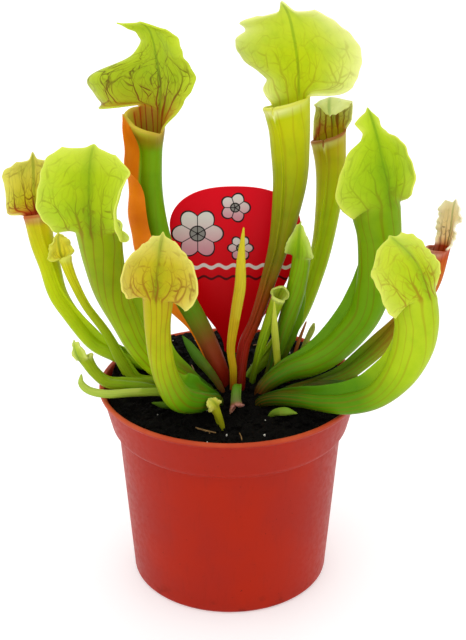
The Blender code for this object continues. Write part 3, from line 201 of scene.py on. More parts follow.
# Each pitcher's spine is x, y, z and radius from foot to mouth; "faces" is the compass angle that its
# wing, then its mouth, points to. The first of a pair is the -R side and the second the +R side, where
# R lies to the right when the mouth points away.
PITCHERS = {
    "pitcher_rear_left": pitcher_leaf(
        [(-2, 0, 88, 2.4), (-3, 0, 97, 3.4), (-6.5, 0.8, 107, 4.2), (-14, 8, 121, 4.8), (-24, 16, 138, 5.0),
         (-32, 25, 156, 5.3), (-36, 31, 176, 5.5), (-36.5, 36, 195, 5.8), (-36.5, 38, 210, 7.2)],
        (-180, -132), (9, 14, 19, 18, 16, 11), (14, 41, 50, 17, 8, 15), "rear_left",
        wing=25.0, wing_foot=0.25, wing_curl=-160, wing_top=1.08, wing_wave=0.06, lip_tilt=5.5, flare=0.7,
        height=46, arch=36, lean=-8, sway=1, cup=(0.4, 0.3), reflex=(0.6, 0.5), curl=40,
        low=(2.0, 7.0), high=(3.0, -1.0), ripple=1.5, waves=2.2),
    "pitcher_centre": pitcher_leaf(
        [(4, -4, 88, 2.4), (4, -4, 96, 3.1), (5, -2, 105, 2.8), (7, 2, 115, 2.8), (12, 7, 125, 2.8),
         (18, 12, 143, 3.6), (23, 17, 160, 5.0), (27, 23, 184, 7.6), (27, 27, 202, 8.9), (26, 29, 221, 9.8)],
        (-100, -128), (19, 27, 31, 31, 25, 15), (16, 20, 35, 36, 25, 14), "centre",
        lip_drop=2.0, lip_tilt=-2.0, flare=0.22, height=39.5, arch=24, lean=-4, sway=1, cup=(0.2, 0.3),
        reflex=(0.4, 0.7), curl=20, point=6.5, low=(3.0, 1.0), high=(-2.0, 3.0), ripple=1.2, waves=1.8,
        nicks=((1, 0.91, 9.0, 0.08),)),
    "pitcher_rear_right": pitcher_leaf(
        [(6, 5, 88, 2.2), (10, 8, 96, 2.5), (21, 15, 107, 3.6), (31, 23, 118.5, 4.6), (39, 32, 135, 4.6),
         (44, 39, 152, 5.0), (47, 46, 178, 6.7), (46, 50, 200, 8.0)],
        (-120, -112), (10, 10, 10.5, 10.5, 9, 3), (11, 9.5, 8.5, 8.5, 6.5, 2), "rear_right",
        lip_drop=3.0, lip_tilt=-2.0, height=37, arch=158, lean=-4, sway=-5, cup=(0.6, 0.7), reflex=(0.1, 0.1),
        curl=0, point=1.0, low=(0.5, 0.5), high=(0.0, 0.0), ripple=0.8, waves=1.6),
    "pitcher_right": pitcher_leaf(
        [(12, -8, 88, 2.6), (16, -7, 97, 3.2), (26, -5, 103.5, 4.4), (37.5, -3, 107, 5.8),
         (49, 0, 114, 6.6), (61, 4, 128, 7.4), (66, 7, 145, 8.6), (67, 9, 162, 9.8), (65.5, 11, 177, 10.6)],
        (150, 122), (13, 20, 25, 18, 7, 9), (10, 12, 16, 14, 5, 3), "right",
        wing=4.0, wing_wave=0.1, height=46, arch=28, lean=10, sway=5, cup=(1.0, 0.6), reflex=(0.5, 1.3),
        curl=0, low=(7.0, 3.0), high=(3.0, 4.0), ripple=1.5, nicks=((-1, 0.72, 2.5, 0.07),)),
    "pitcher_front_right": pitcher_leaf(
        [(11, -14, 88, 2.4), (15, -16, 94, 2.6), (23, -20, 97.5, 3.2), (33, -26, 100, 3.6),
         (43, -32, 101.5, 4.2), (53, -36, 103.5, 4.8), (64, -38, 108.7, 5.6), (73, -38, 119, 7.4),
         (78, -37, 131, 9.0), (79.5, -36, 142, 9.4), (78.5, -34, 152, 9.4)],
        (150, 126), (14, 19, 22, 22, 17, 10), (8, 9, 10, 11, 11, 8), "front_right",
        wing=5.0, wing_wave=0.1, height=36, arch=62, lean=16, sway=3, cup=(1.0, 0.4), reflex=(0.5, 0.9),
        curl=-10, low=(8.0, -3.0), high=(1.0, -3.0), waves=1.8),
    "pitcher_front_left": pitcher_leaf(
        [(-4, -14, 88, 2.4), (-6, -17, 95, 3.0), (-10, -23, 98, 4.0), (-15.5, -30, 101.5, 5.4),
         (-22, -38, 107.5, 6.0), (-26.5, -42, 118, 5.5), (-29, -44, 130, 5.3), (-30, -45, 144, 5.5),
         (-29.5, -46, 158, 6.4)],
        (60, 82), (7, 13, 15.5, 14, 8, 4), (7, 14, 18.5, 16, 11, 5), "front_left",
        wing=8.0, wing_top=0.62, wing_wave=0.05, height=29, arch=40, sway=1, cup=(0.5, 0.3),
        reflex=(1.1, 0.8), curl=10, low=(3.0, 6.0), high=(0.0, 2.0), waves=2.4, frill=0.7),
    "pitcher_dry": pitcher_leaf(
        [(18, -14, 88, 2.0), (21, -13, 94, 2.2), (28, -11, 96.5, 2.6), (38, -7, 96.5, 3.0),
         (51, 1, 97.5, 3.2), (61.5, 8, 102, 3.5), (74, 15, 111, 3.9), (85.5, 22, 122.5, 4.4),
         (93.5, 27, 135, 5.0), (97.5, 29, 152, 5.0)],
        (185, 205), (6, 6, 6, 7, 12, 10), (7, 8, 8, 9, 8, 6), "dry",
        wing_top=0.8, wing_wave=0.2, lip_drop=3.0, flare=0.2, height=21, arch=6, lean=6, cup=(0.8, 0.8),
        reflex=(0.3, 0.3), curl=-10, low=(1.0, 1.0), high=(0.0, 0.0), ripple=0.9, waves=2.5, frill=0.4),
    "pitcher_left": pitcher_leaf(
        [(-7, -9, 88, 2.4), (-9, -9, 94, 3.0), (-20, -10, 101, 4.2), (-32, -12, 109.5, 5.0),
         (-40, -14, 121, 5.8), (-46, -16, 135, 6.4), (-51.5, -18, 150, 7.6), (-54, -20, 165, 8.8),
         (-55.5, -22, 179, 9.6)],
        (25, 80), (11, 17, 22, 22, 20, 14), (13, 17, 14, 17, 18, 10), "left",
        wing=8.0, wing_top=0.85, wing_wave=0.08, height=40, arch=42, lean=2, sway=2, cup=(0.3, 0.4),
        reflex=(0.7, 1.2), curl=20, low=(3.0, 6.0), high=(-1.0, 4.0), ripple=1.3, waves=2.2, frill=0.5),
    "pitcher_far_left": pitcher_leaf(
        [(-12, 3, 88, 2.0), (-16, 4, 95, 2.4), (-30, 8, 99, 3.0), (-44, 12, 101, 3.6), (-55, 15, 104, 3.8),
         (-64.5, 18, 108.5, 3.8), (-74.5, 22, 120.5, 4.0), (-80.5, 25, 130, 4.5), (-84, 29, 142, 5.0),
         (-87.5, 33, 153, 5.7), (-89.5, 36, 165, 6.2)],
        (-30, -80), (9, 11, 11, 12, 11, 6), (11, 14, 14, 14, 14, 8), "far_left",
        wing=3.0, wing_top=0.8, wing_wave=0.15, lip_drop=0.5, flare=0.5, height=26, arch=26, lean=-4,
        sway=-3, cup=(0.6, 0.5), reflex=(0.7, 0.9), curl=20, point=5.0, low=(2.0, 2.0), high=(1.0, -1.0),
        ripple=0.8, frill=0.6),
    "pitcher_bud": pitcher_leaf(
        [(-13, -3, 88, 1.6), (-17, -3, 94.5, 1.8), (-31, -2, 97.5, 2.2), (-43, 3, 94.1, 2.6),
         (-50, 7, 102.7, 2.6), (-57, 12, 114.8, 2.0), (-66.7, 18, 126.6, 2.0), (-73, 23, 138, 2.3),
         (-76.5, 26, 147, 2.8)],
        (0, -50), (5, 6.5, 6.5, 6, 4.5, 3), (5, 7, 7.5, 6, 4.5, 3), "bud", small=True,
        wing=2.0, wing_top=0.6, lip_drop=0.5, flare=0.1, height=13, arch=45, cup=(0.8, 0.8),
        reflex=(0.6, 0.6), curl=10, point=1.5, low=(1.0, 1.5), high=(1.0, 1.0), ripple=0.8, waves=2.2,
        frill=0.3),
    "leaf_young": pitcher_leaf(
        [(14, 3.5, 88, 1.6), (17, 4, 95, 2.0), (20, 5, 102, 2.8), (25, 7.5, 119, 3.8), (29.5, 10, 135, 4.4),
         (31.8, 11, 147.5, 4.2), (32.3, 11, 153.5, 4.0)],
        (20, 60), (5.5, 7.5, 6.5, 5, 3.5, 2), (5.5, 7, 6, 4.5, 3, 1.5), "young", small=True,
        wing=3.0, wing_top=1.1, wing_wave=0.1, lip_drop=0.5, flare=0.1, height=16, arch=25, lean=4, sway=-2,
        cup=(0.8, 0.8), reflex=(0.6, 0.6), point=1.5, low=(1.5, 1.0), high=(0.5, 0.5), ripple=0.4, frill=0.2),
    "pitcher_small": pitcher_leaf(
        [(9, 1, 88, 1.3), (10.5, 0.5, 97, 1.5), (12, 0, 105, 1.6), (15, 1, 116.5, 2.2), (19, 3, 128, 2.8),
         (22, 4.5, 136, 3.2)],
        (-80, -80), (4.5, 5, 5, 4.5, 3.5, 2.4), (4.5, 5, 5, 4.5, 3.5, 2.4), "small", small=True,
        wing=1.0, lip_drop=0.5, flare=0.1, height=10, arch=95, cup=(1.1, 1.1), reflex=(0.2, 0.2), point=1.0,
        low=(0.3, 0.3), high=(0.0, 0.0), ripple=0.2, waves=1.5, frill=0.1),
    "seedling_left": pitcher_leaf(
        [(-23, -15.5, 88, 1.3), (-26, -15.2, 96, 1.6), (-36, -15, 100.5, 2.0), (-47, -14.5, 101.5, 2.2),
         (-55, -14, 102.5, 2.3), (-60.5, -13.5, 107.5, 2.5), (-64.5, -13, 114, 3.0)],
        (60, 60), (4.5, 5, 5, 4.5, 3.5, 2.4), (4.5, 5, 5, 4.5, 3.5, 2.4), "small", small=True,
        wing=1.5, wing_wave=0.1, lip_drop=0.4, flare=0.1, height=10, arch=35, cup=(0.8, 0.8),
        reflex=(0.5, 0.5), point=1.0, low=(0.8, 0.8), high=(0.0, 0.0), ripple=0.4, frill=0.1),
    "pitcher_baby": pitcher_leaf(
        [(3.4, -13.2, 89, 1.1), (3.4, -13.4, 94, 1.3), (3.2, -14.5, 99, 1.5), (3.0, -17.5, 102, 1.7),
         (2.8, -21.0, 102.5, 1.9), (2.6, -24.0, 100.2, 2.1), (2.6, -26.0, 97.3, 2.3)],
        (10, 10), (3.6, 3.5, 3.2, 2.8, 2.2, 1.6), (3.6, 3.5, 3.2, 2.8, 2.2, 1.6), "baby", small=True,
        wing=0.8, wing_foot=0.3, lip_drop=0.3, flare=0.2, height=3.5, arch=20, lean=-15, cup=(0.9, 0.9),
        reflex=(0.2, 0.2), point=0.3, low=(0.2, 0.2), high=(0.2, 0.2), ripple=0.1, waves=1.5, frill=0.0),
    "seedling_centre": pitcher_leaf(
        [(-2.5, -34.5, 87, 1.0), (-3.5, -34, 92, 1.3), (-5, -33.5, 96.5, 1.7), (-6.5, -33, 99.5, 2.2)],
        (150, 150), (3.2, 4.0, 4.0, 3.6, 3.0, 2.2), (3.2, 4.0, 4.0, 3.6, 3.0, 2.2), "frilly", small=True,
        wing=0.8, lip_drop=0.2, flare=0.2, height=6, arch=60, cup=(0.8, 0.8), reflex=(0.5, 0.5), point=0.5,
        low=(0.5, 0.5), high=(0.0, 0.0), ripple=0.5, frill=0.25),
}

# Leaves without a mouth: spine of x, y, z and half width, the side that the flat faces, thickness and tones.
BLADES = {
    "spike_tall": (
        [(1, -9.5, 88, 1.3), (1.5, -9, 97, 1.5), (1.5, -8.5, 107, 1.7), (0.5, -7, 117, 1.9),
         (2.8, -5.5, 134, 2.4), (4.6, -5, 146, 2.5), (5, -5, 159, 1.9), (6.1, -5, 173, 0.4)],
        -95, 0.8,
        [(0.0, "#4c0c04"), (0.2, "#7c2008"), (0.42, "#c09c0c"), (1.0, "#d4b014"), (2.0, "#d8c82c")]),
    "spike_short": (
        [(23, 2, 88, 1.2), (22.5, 1.5, 98, 1.5), (21.8, 0.5, 107, 1.6), (21, -1, 116, 1.7),
         (20.3, -2.5, 125, 1.5), (20, -3, 137, 0.4)],
        -90, 0.8, [(0.0, "#6c7a12"), (0.6, "#b4be2a"), (2.0, "#ccd44a")]),
    "leaf_inner": (
        [(-2.5, -8, 88, 1.2), (-3.5, -7, 95, 1.5), (-8, -6.5, 103, 2.0), (-14, -6, 111, 2.5),
         (-18.5, -5, 117.5, 1.7), (-21, -4.5, 121, 0.4)],
        -80, 0.8, [(0.0, "#5c1c10"), (0.4, "#5c3a18"), (1.0, "#3c6414"), (2.0, "#4c7a1c")]),
    "blade_right": (
        [(26, -16, 88, 1.4), (27, -16, 95, 1.8), (32, -16.5, 100, 2.0), (42, -17, 103, 2.2),
         (54, -18, 103.5, 1.8), (62, -18, 104.5, 0.4)],
        -90, 0.6, [(0.0, "#1c2a08"), (1.0, "#2c460c"), (2.0, "#3f5c10")]),
    "blade_left": (
        [(-12, -17.5, 88, 1.3), (-15, -19.5, 94, 1.6), (-22, -22, 95.5, 1.8), (-29, -24, 96.5, 1.6),
         (-34, -25, 98, 0.5)],
        -80, 0.6, [(0.0, "#1c2808"), (1.0, "#35500e"), (2.0, "#4c6c12")]),
    "leaf_crescent": (
        [(17, -26, 90, 1.0), (20, -27, 94, 1.6), (25, -28, 95.5, 1.9), (29.5, -28, 94.5, 0.5)],
        -60, 0.6, [(0.0, "#3c5c14"), (1.0, "#6c9424"), (2.0, "#86a832")]),
    "seedling_hooked": (
        [(-16, -15, 88, 1.1), (-18, -16.5, 95.5, 1.4), (-28, -20.5, 101, 1.8), (-42, -22, 101.8, 1.9),
         (-54, -22, 101, 1.9), (-62, -21, 102, 1.8), (-66, -20, 105, 1.5), (-66, -19.5, 109, 0.5)],
        -90, 0.9, [(0.0, "#3c5c10"), (1.0, "#8cac2c"), (2.0, "#b4c850")]),
    "twig": (
        [(27, 4, 88, 0.9), (27.5, 4, 96, 1.0), (29, 5, 104, 0.9), (32, 7, 114, 0.8), (35, 9, 122, 0.4)],
        -90, 0.8, [(0.0, "#3c140a"), (1.0, "#7c3014"), (2.0, "#9a5a24")]),
    "seedling_curled_a": (
        [(30, 14, 90, 0.8), (32, 14, 100, 0.9), (35, 15, 108, 1.1), (38, 15, 115, 1.4), (39, 14, 119, 0.6)],
        -90, 0.8, [(0.0, "#6c7a14"), (1.0, "#a8b43c"), (2.0, "#ccd468")]),
    "seedling_curled_b": (
        [(34, 9, 90, 0.8), (36, 9, 99, 0.9), (39, 10, 107, 1.1), (42, 10, 113, 1.4), (45, 9.5, 116, 0.6)],
        -90, 0.8, [(0.0, "#6c7a14"), (1.0, "#a8b43c"), (2.0, "#d4dc78")]),
}

# Pot, its drain holes and the peat's room, in millimetres.
POT_WALL = 1.1
LIP_THICKNESS = 1.9
STEP_HEIGHT = 76.6
STEP_RADIUS = 51.7
COLLAR_FOOT_RADIUS = 54.6
BASE_RADIUS = 46.3
POT_FLOOR = 1.6
DRAIN_HOLES = 6
DRAIN_HOLE_RADIUS = 4.0
DRAIN_CIRCLE_RADIUS = 31.0
DRAIN_HOLE_SIDES = 32
SOIL_SIDE_GAP = 0.65
COLLAR_INSET = 1.2
SOIL_EDGE_ROOM = 4.0

# The peat's heaps in millimetres: behind, at the left, at the crown of the leaves, and its slow lumps.
HEAP_BEHIND = 7.0
HEAP_LEFT = 5.0
HEAP_CROWN = 4.0
LUMPS = 0.75
CROWN = (4.0, -6.0)
CROWN_SPREAD = 700.0

# Card, in millimetres. It leans back from its middle.
CARD_CENTRE_X = 2.5
CARD_Y = 35.0
CARD_LEAN = math.radians(4.0)
CARD_TOP = 178.5
CARD_MIDDLE = 160.0
CARD_HALF_WIDTH = 30.5
STAKE_HALF_WIDTH = 5.0
STAKE_FOOT = 62.0
CARD_COLUMNS = 91
CARD_BEVEL = 0.3

# Heights and half widths between the stake and the widest part of the card.
CARD_SHOULDERS = [(100, STAKE_HALF_WIDTH), (106, 7.0), (114, 13.0), (124, 20.0), (136, 26.0), (148, 29.5)]

# Peat: grid, then share, size and seed of the layers of crumbs in the skin.
PEAT_GRID = (170, 520)
PEAT_BOTTOM = POT_FLOOR + 0.35
CRUMB_LAYERS = ((0.5, 4.3, 1.0), (0.55, 2.3, 5.0), (0.4, 1.3, 9.0))

# Straws: how many, points along and around one, its radius, and how far from the middle they lie.
STRAWS, STRAW_POINTS, STRAW_SIDES = 14, 9, 6
STRAW_RADIUS = 0.28
STRAW_REACH = 48.0
GRAIN_REACH = 52.5

# Stage, in metres: the floor's half width, the lights (place, aim and width), and the photograph's camera.
FLOOR_REACH = 6
LIGHTS = {
    "key": ((-0.5, -0.9, 1.1), (0, 0, 0.12), 0.9),
    "top": ((0.0, 0.1, 1.4), (0, 0, 0.12), 1.0),
    "back": ((0.1, 1.0, 0.9), (0, 0, 0.15), 1.0),
}
CAMERA_PLACE = (0.0015, -0.5779, 0.3849)
CAMERA_PITCH = math.radians(65.97)
CAMERA_LENS = 78.75
SENSOR_WIDTH = 36


def eased(value, low=0.0, high=1.0):
    """0 below low, 1 above high, and t*t*(3 - 2t) of the share t between them."""
    t = np.clip((np.asarray(value, float) - low) / (high - low), 0.0, 1.0)
    return t * t * (3.0 - 2.0 * t)


def through(values, position):
    """A Catmull-Rom curve through evenly spaced values, read at positions from 0 to 1."""
    knots = np.array(values, float)
    if knots.ndim == 1:
        knots = knots[:, None]
    padded = np.vstack([2 * knots[0] - knots[1], knots, 2 * knots[-1] - knots[-2]])
    at = np.clip(np.asarray(position, float), 0.0, 1.0) * (len(knots) - 1)
    left = np.minimum(at.astype(int), len(knots) - 2)
    t = (at - left)[:, None]
    a, b, c, d = (padded[left + step] for step in range(4))
    return 0.5 * (2 * b + (c - a) * t + (2 * a - 5 * b + 4 * c - d) * t**2 + (3 * b - a - 3 * c + d) * t**3)


def along(spine, count):
    """The spine's smooth curve as evenly spaced points, the radius as their last column, and its length."""
    fine = through(spine, np.linspace(0.0, 1.0, 60 * len(spine)))
    steps = np.linalg.norm(np.diff(fine[:, :3], axis=0), axis=1)
    travelled = np.concatenate([[0.0], np.cumsum(steps)])
    wanted = np.linspace(0.0, travelled[-1], count)
    return np.stack([np.interp(wanted, travelled, column) for column in fine.T], axis=1), travelled[-1]


def unit(vectors):
    return vectors / np.linalg.norm(vectors, axis=-1, keepdims=True)


def frames(path, compass):
    """Along, front and right directions at each point: the front turns up where the leaf lies down."""
    forward = unit(np.gradient(path[:, :3], axis=0))
    angle = np.radians(compass)
    wanted = np.stack([np.cos(angle), np.sin(angle), np.full_like(angle, 0.6)], axis=1)
    front = unit(wanted - (wanted * forward).sum(axis=1, keepdims=True) * forward)
    return forward, front, np.cross(front, forward)


def grid_faces(index, closed=False):
    """Squares of a grid of vertex numbers."""
    following = np.roll(index, -1, axis=1) if closed else index[:, 1:]
    own = index if closed else index[:, :-1]
    return np.stack([own[:-1], following[:-1], following[1:], own[1:]], -1).reshape(-1, 4)


def fan(ring, centre):
    """Triangles between a closed ring and one point."""
    return np.stack([ring, np.roll(ring, -1), np.full_like(ring, centre)], axis=1)


def capped(index):
    """Faces of a closed tube of vertex numbers, with a fan at each end to the two points that follow them."""
    ends = fan(index[0], index.size)[:, ::-1], fan(index[-1], index.size + 1)
    return [grid_faces(index, closed=True), *ends]


def numbered(shape):
    """Vertex numbers in a grid."""
    return np.arange(math.prod(shape)).reshape(shape)


def turns(count):
    """Even angles round a circle."""
    return np.arange(count) * 2 * math.pi / count


def hashed(x, y, turn, factors=(127.1, 311.7)):
    """A number from 0 to 1 that looks random, from two whole numbers: the fraction of a large sine."""
    value = np.sin(x * factors[0] + y * factors[1] + turn) * 43758.5453
    return value - np.floor(value)


def wobble(x, y, seed):
    """Smooth noise from -1 to 1: eased blends of hashed values at the corners of unit squares."""
    xi, yi = np.floor(x), np.floor(y)
    u, w = eased(x - xi), eased(y - yi)
    low, high = (
        hashed(xi, row, seed * 74.7) * (1 - u) + hashed(xi + 1, row, seed * 74.7) * u for row in (yi, yi + 1)
    )
    return 2 * (low * (1 - w) + high * w) - 1


def crumb_field(x, y, cell, seed):
    """Half-ball bumps, 0 to 1, on one jittered point per square cell, each with a height of its own."""
    px, py = x / cell, y / cell
    xi, yi = np.floor(px), np.floor(py)
    height = np.zeros_like(px)
    for dx in (-1, 0, 1):
        for dy in (-1, 0, 1):
            cx, cy = xi + dx, yi + dy
            first, second = hashed(cx, cy, seed), hashed(cx, cy, seed, (269.5, 183.3))
            apart = np.hypot(px - cx - first, py - cy - second)
            size = 0.35 + 0.45 * ((first * 7.31 + second * 3.17) % 1.0)
            height = np.maximum(height, size * np.sqrt(np.clip(1 - (apart / size) ** 2, 0, 1)))
    return height


def linear(colour):
    """A #rrggbb sRGB colour as linear red, green, blue and full alpha."""
    parts = [int(colour[place : place + 2], 16) / 255 for place in (1, 3, 5)]
    return (*(c / 12.92 if c <= 0.04045 else ((c + 0.055) / 1.055) ** 2.4 for c in parts), 1.0)


def add_mesh(name, points, faces, attributes=None, node=None, sharp=60):
    """A smooth shaded piece on the root body, from points in millimetres, faces and point attributes."""
    mesh = bpy.data.meshes.new(name)
    lists = [face for block in faces for face in np.asarray(block).tolist()]
    mesh.from_pydata((np.asarray(points) * MM).tolist(), [], lists)
    shape = bmesh.new()
    shape.from_mesh(mesh)
    bmesh.ops.recalc_face_normals(shape, faces=shape.faces)
    if shape.calc_volume(signed=True) < 0:
        bmesh.ops.reverse_faces(shape, faces=shape.faces)
    shape.to_mesh(mesh)
    shape.free()
    for key, values in (attributes or {}).items():
        stored = mesh.attributes.new(key, "FLOAT_VECTOR", "POINT")
        stored.data.foreach_set("vector", np.asarray(values, np.float32).ravel())
    mesh.shade_smooth()
    mesh.set_sharp_from_angle(angle=math.radians(sharp))
    piece = bpy.data.objects.new(name, mesh)
    bpy.context.scene.collection.objects.link(piece)
    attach(piece, "root")
    if node:
        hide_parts(node)
    return piece


# Materials

WHITE = (1.0, 1.0, 1.0, 1.0)

# The nodes of the materials by a short name: type, the output that is read (None for all of them), the
# inputs that the values go to in turn, and settings. Any other name is an operation of the Math node.
NODES = {
    "axes": ("ShaderNodeSeparateXYZ", None, (0,), {}),
    "between": ("ShaderNodeMix", 0, (0, 2, 3), {"data_type": "FLOAT"}),
    "cells": ("ShaderNodeTexVoronoi", 0, ("Vector", "Scale"), {"feature": "DISTANCE_TO_EDGE"}),
    "drift": ("ShaderNodeTexNoise", 1, ("Vector", "Scale", "Detail"), {}),
    "line": ("ShaderNodeCombineXYZ", 0, (0,), {}),
    "mix": ("ShaderNodeMix", 2, (0, 6, 7), {"data_type": "RGBA"}),
    "noise": ("ShaderNodeTexNoise", 0, ("Vector", "Scale", "Detail", "Roughness"), {}),
    "object": ("ShaderNodeTexCoord", "Object", (), {}),
    "ramp": ("ShaderNodeValToRGB", 0, (0,), {}),
    "relief": ("ShaderNodeBump", 0, ("Height", "Strength", "Distance"), {}),
    "scaled": ("ShaderNodeVectorMath", 0, (0, 3), {"operation": "SCALE"}),
    "shifted": ("ShaderNodeVectorMath", 0, (0, 1, 2), {"operation": "MULTIPLY_ADD"}),
    "span": ("ShaderNodeMapRange", 0, (0, 1, 2, 3, 4), {"interpolation_type": "SMOOTHSTEP"}),
    "squeezed": ("ShaderNodeMapping", 0, (0, 3), {}),
    "stored": ("ShaderNodeAttribute", "Vector", (), {}),
    "times": ("ShaderNodeMix", 2, (0, 6, 7), {"data_type": "RGBA", "blend_type": "MULTIPLY"}),
}

# How the leaf's skin looks beside its colours: the veins' slow drift, the cells of the net with each
# one's scale, line width and strength, and what the midrib and the darker clouds take from the colour.
DRIFT_SCALE = 0.11
DRIFT_MM = 7.0
NETS = ((0.2, 0.045, 1.0), (0.5, 0.07, 0.45))
MIDRIB_SHADE = (0.55, 0.68, 0.5, 1.0)
CLOUD_SHADE = (0.6, 0.78, 0.5, 1.0)
LEAF_GLOSS = 0.08
LEAF_LIGHT = {"Subsurface Weight": 0.2, "Subsurface Radius": (0.9, 1.0, 0.2), "Subsurface Scale": 0.0014}

# The card's print: flowers as centre, radius and petals, and wavy lines as height, half width and ink.
FLOWERS = (((-15.0, 156.0), 12.0, 6), ((2.5, 168.5), 7.0, 5), ((5.0, 149.0), 6.0, 6))
WAVY_LINES = ((140.0, 0.9, "#e8e4e2"), (134.5, 0.6, "#2a0a10"))
DULL_GLOSS = 0.1


class Value:
    """A node's output that can be reckoned with: each sum on it adds a Math node."""

    def __init__(self, socket):
        self.socket = socket

    def __add__(self, other):
        return add("ADD", self, other)

    def __sub__(self, other):
        return add("SUBTRACT", self, other)

    def __rsub__(self, other):
        return add("SUBTRACT", other, self)

    def __mul__(self, other):
        return add("MULTIPLY", self, other)

    def __truediv__(self, other):
        return add("DIVIDE", self, other)


def feed(node, inputs):
    """Links or sets inputs of a node."""
    for place, value in inputs.items():
        if isinstance(value, Value):
            node.id_data.links.new(value.socket, node.inputs[place])
        else:
            node.inputs[place].default_value = value


def add(kind, *values, tree=None, stops=(), **settings):
    """Adds a node by its name in NODES and gives what it puts out. stops are a ramp's places and colours."""
    node_type, output, places, fixed = NODES.get(kind, ("ShaderNodeMath", 0, (0, 1, 2), {"operation": kind}))
    tree = tree or next(value.socket.id_data for value in values if isinstance(value, Value))
    node = tree.nodes.new(node_type)
    for key, value in {**fixed, **settings}.items():
        setattr(node, key, value)
    feed(node, dict(zip(places, values)))
    for number, (at, colour) in enumerate([*stops[:1], *stops[-1:], *stops[1:-1]]):
        elements = node.color_ramp.elements
        element = elements[number] if number < 2 else elements.new(at)
        element.position, element.color = at, linear(colour)
    return [Value(socket) for socket in node.outputs] if output is None else Value(node.outputs[output])


def new_material(name):
    made = bpy.data.materials.new(name)
    made.use_nodes = True
    return made, made.node_tree.nodes["Principled BSDF"]


def in_millimetres(made):
    """The object's own coordinates in millimetres."""
    return add("scaled", add("object", tree=made.node_tree), 1 / MM)


def layered(colour, *layers):
    """A colour under layers, each a share, a colour, and the kind of mix where it isn't a plain one."""
    for share, over, *kind in layers:
        colour = add(*(kind or ["mix"]), share, colour, over)
    return colour


def angle_of(across, ahead):
    """The angle of a place in the leaf's pattern space, 0 at the back."""
    return add("ARCTAN2", across, ahead * -1.0)


def vein_pattern(grain, radius, tone, hood):
    """Veins, 0 to 1: ribs at even angles, side branches that leave each rib of the hood upwards
    at one spacing, and a fine broken net. Returns the ribs with their branches, and the net."""
    drift = add("drift", grain, DRIFT_SCALE, 2.0)
    centred = add("shifted", drift, (1.0, 1.0, 1.0), (-0.5, -0.5, -0.5))
    warped = add("shifted", centred, (DRIFT_MM, DRIFT_MM, DRIFT_MM), grain)
    across, ahead, height = add("axes", warped)
    angle = angle_of(across, ahead)
    reach = add("between", hood, radius, radius * add("span", tone, 1.0, 1.6, 0.5, 1.2))
    gap = 2 * math.pi / RIBS_ROUND_LEAF
    wander = add("noise", add("line", angle / gap), 1.0, 0.0)
    apart = add("PINGPONG", angle, gap / 2)
    fading = add("span", add("MULTIPLY_ADD", wander, 0.5, tone - 0.25), 1.25, 1.75, 1.0, 0.2)
    ribs = add("span", apart * reach, 0.08, 0.5, 0.9, 0.0) * fading
    up = add("MULTIPLY_ADD", wander, BRANCH_SPACING * 2, height / GRAIN_ALONG_HOOD)
    up = up - apart * radius * BRANCH_SLOPE
    branch = add("span", add("PINGPONG", up, BRANCH_SPACING / 2), 0.1, 0.5, 0.85, 0.0)
    branch = branch * add("span", apart, 0.0, gap / 2, 1.0, 0.3)
    branch = branch * (hood * add("span", tone, 1.3, 1.9, 1.0, 0.3))
    broken = add("span", add("noise", grain, 0.45, 3.0, 0.55), 0.36, 0.6, 0.15, 1.0)
    broken = broken * add("span", tone, 1.0, 1.3, 0.35, 1.0)
    nets = [
        add("span", add("cells", warped, scale), 0.01, width, 1.0, 0.0) * strength
        for scale, width, strength in NETS
    ]
    fine = add("MAXIMUM", *nets) * broken * add("MULTIPLY_ADD", hood, 0.9, 0.1)
    return add("MAXIMUM", ribs, branch), fine


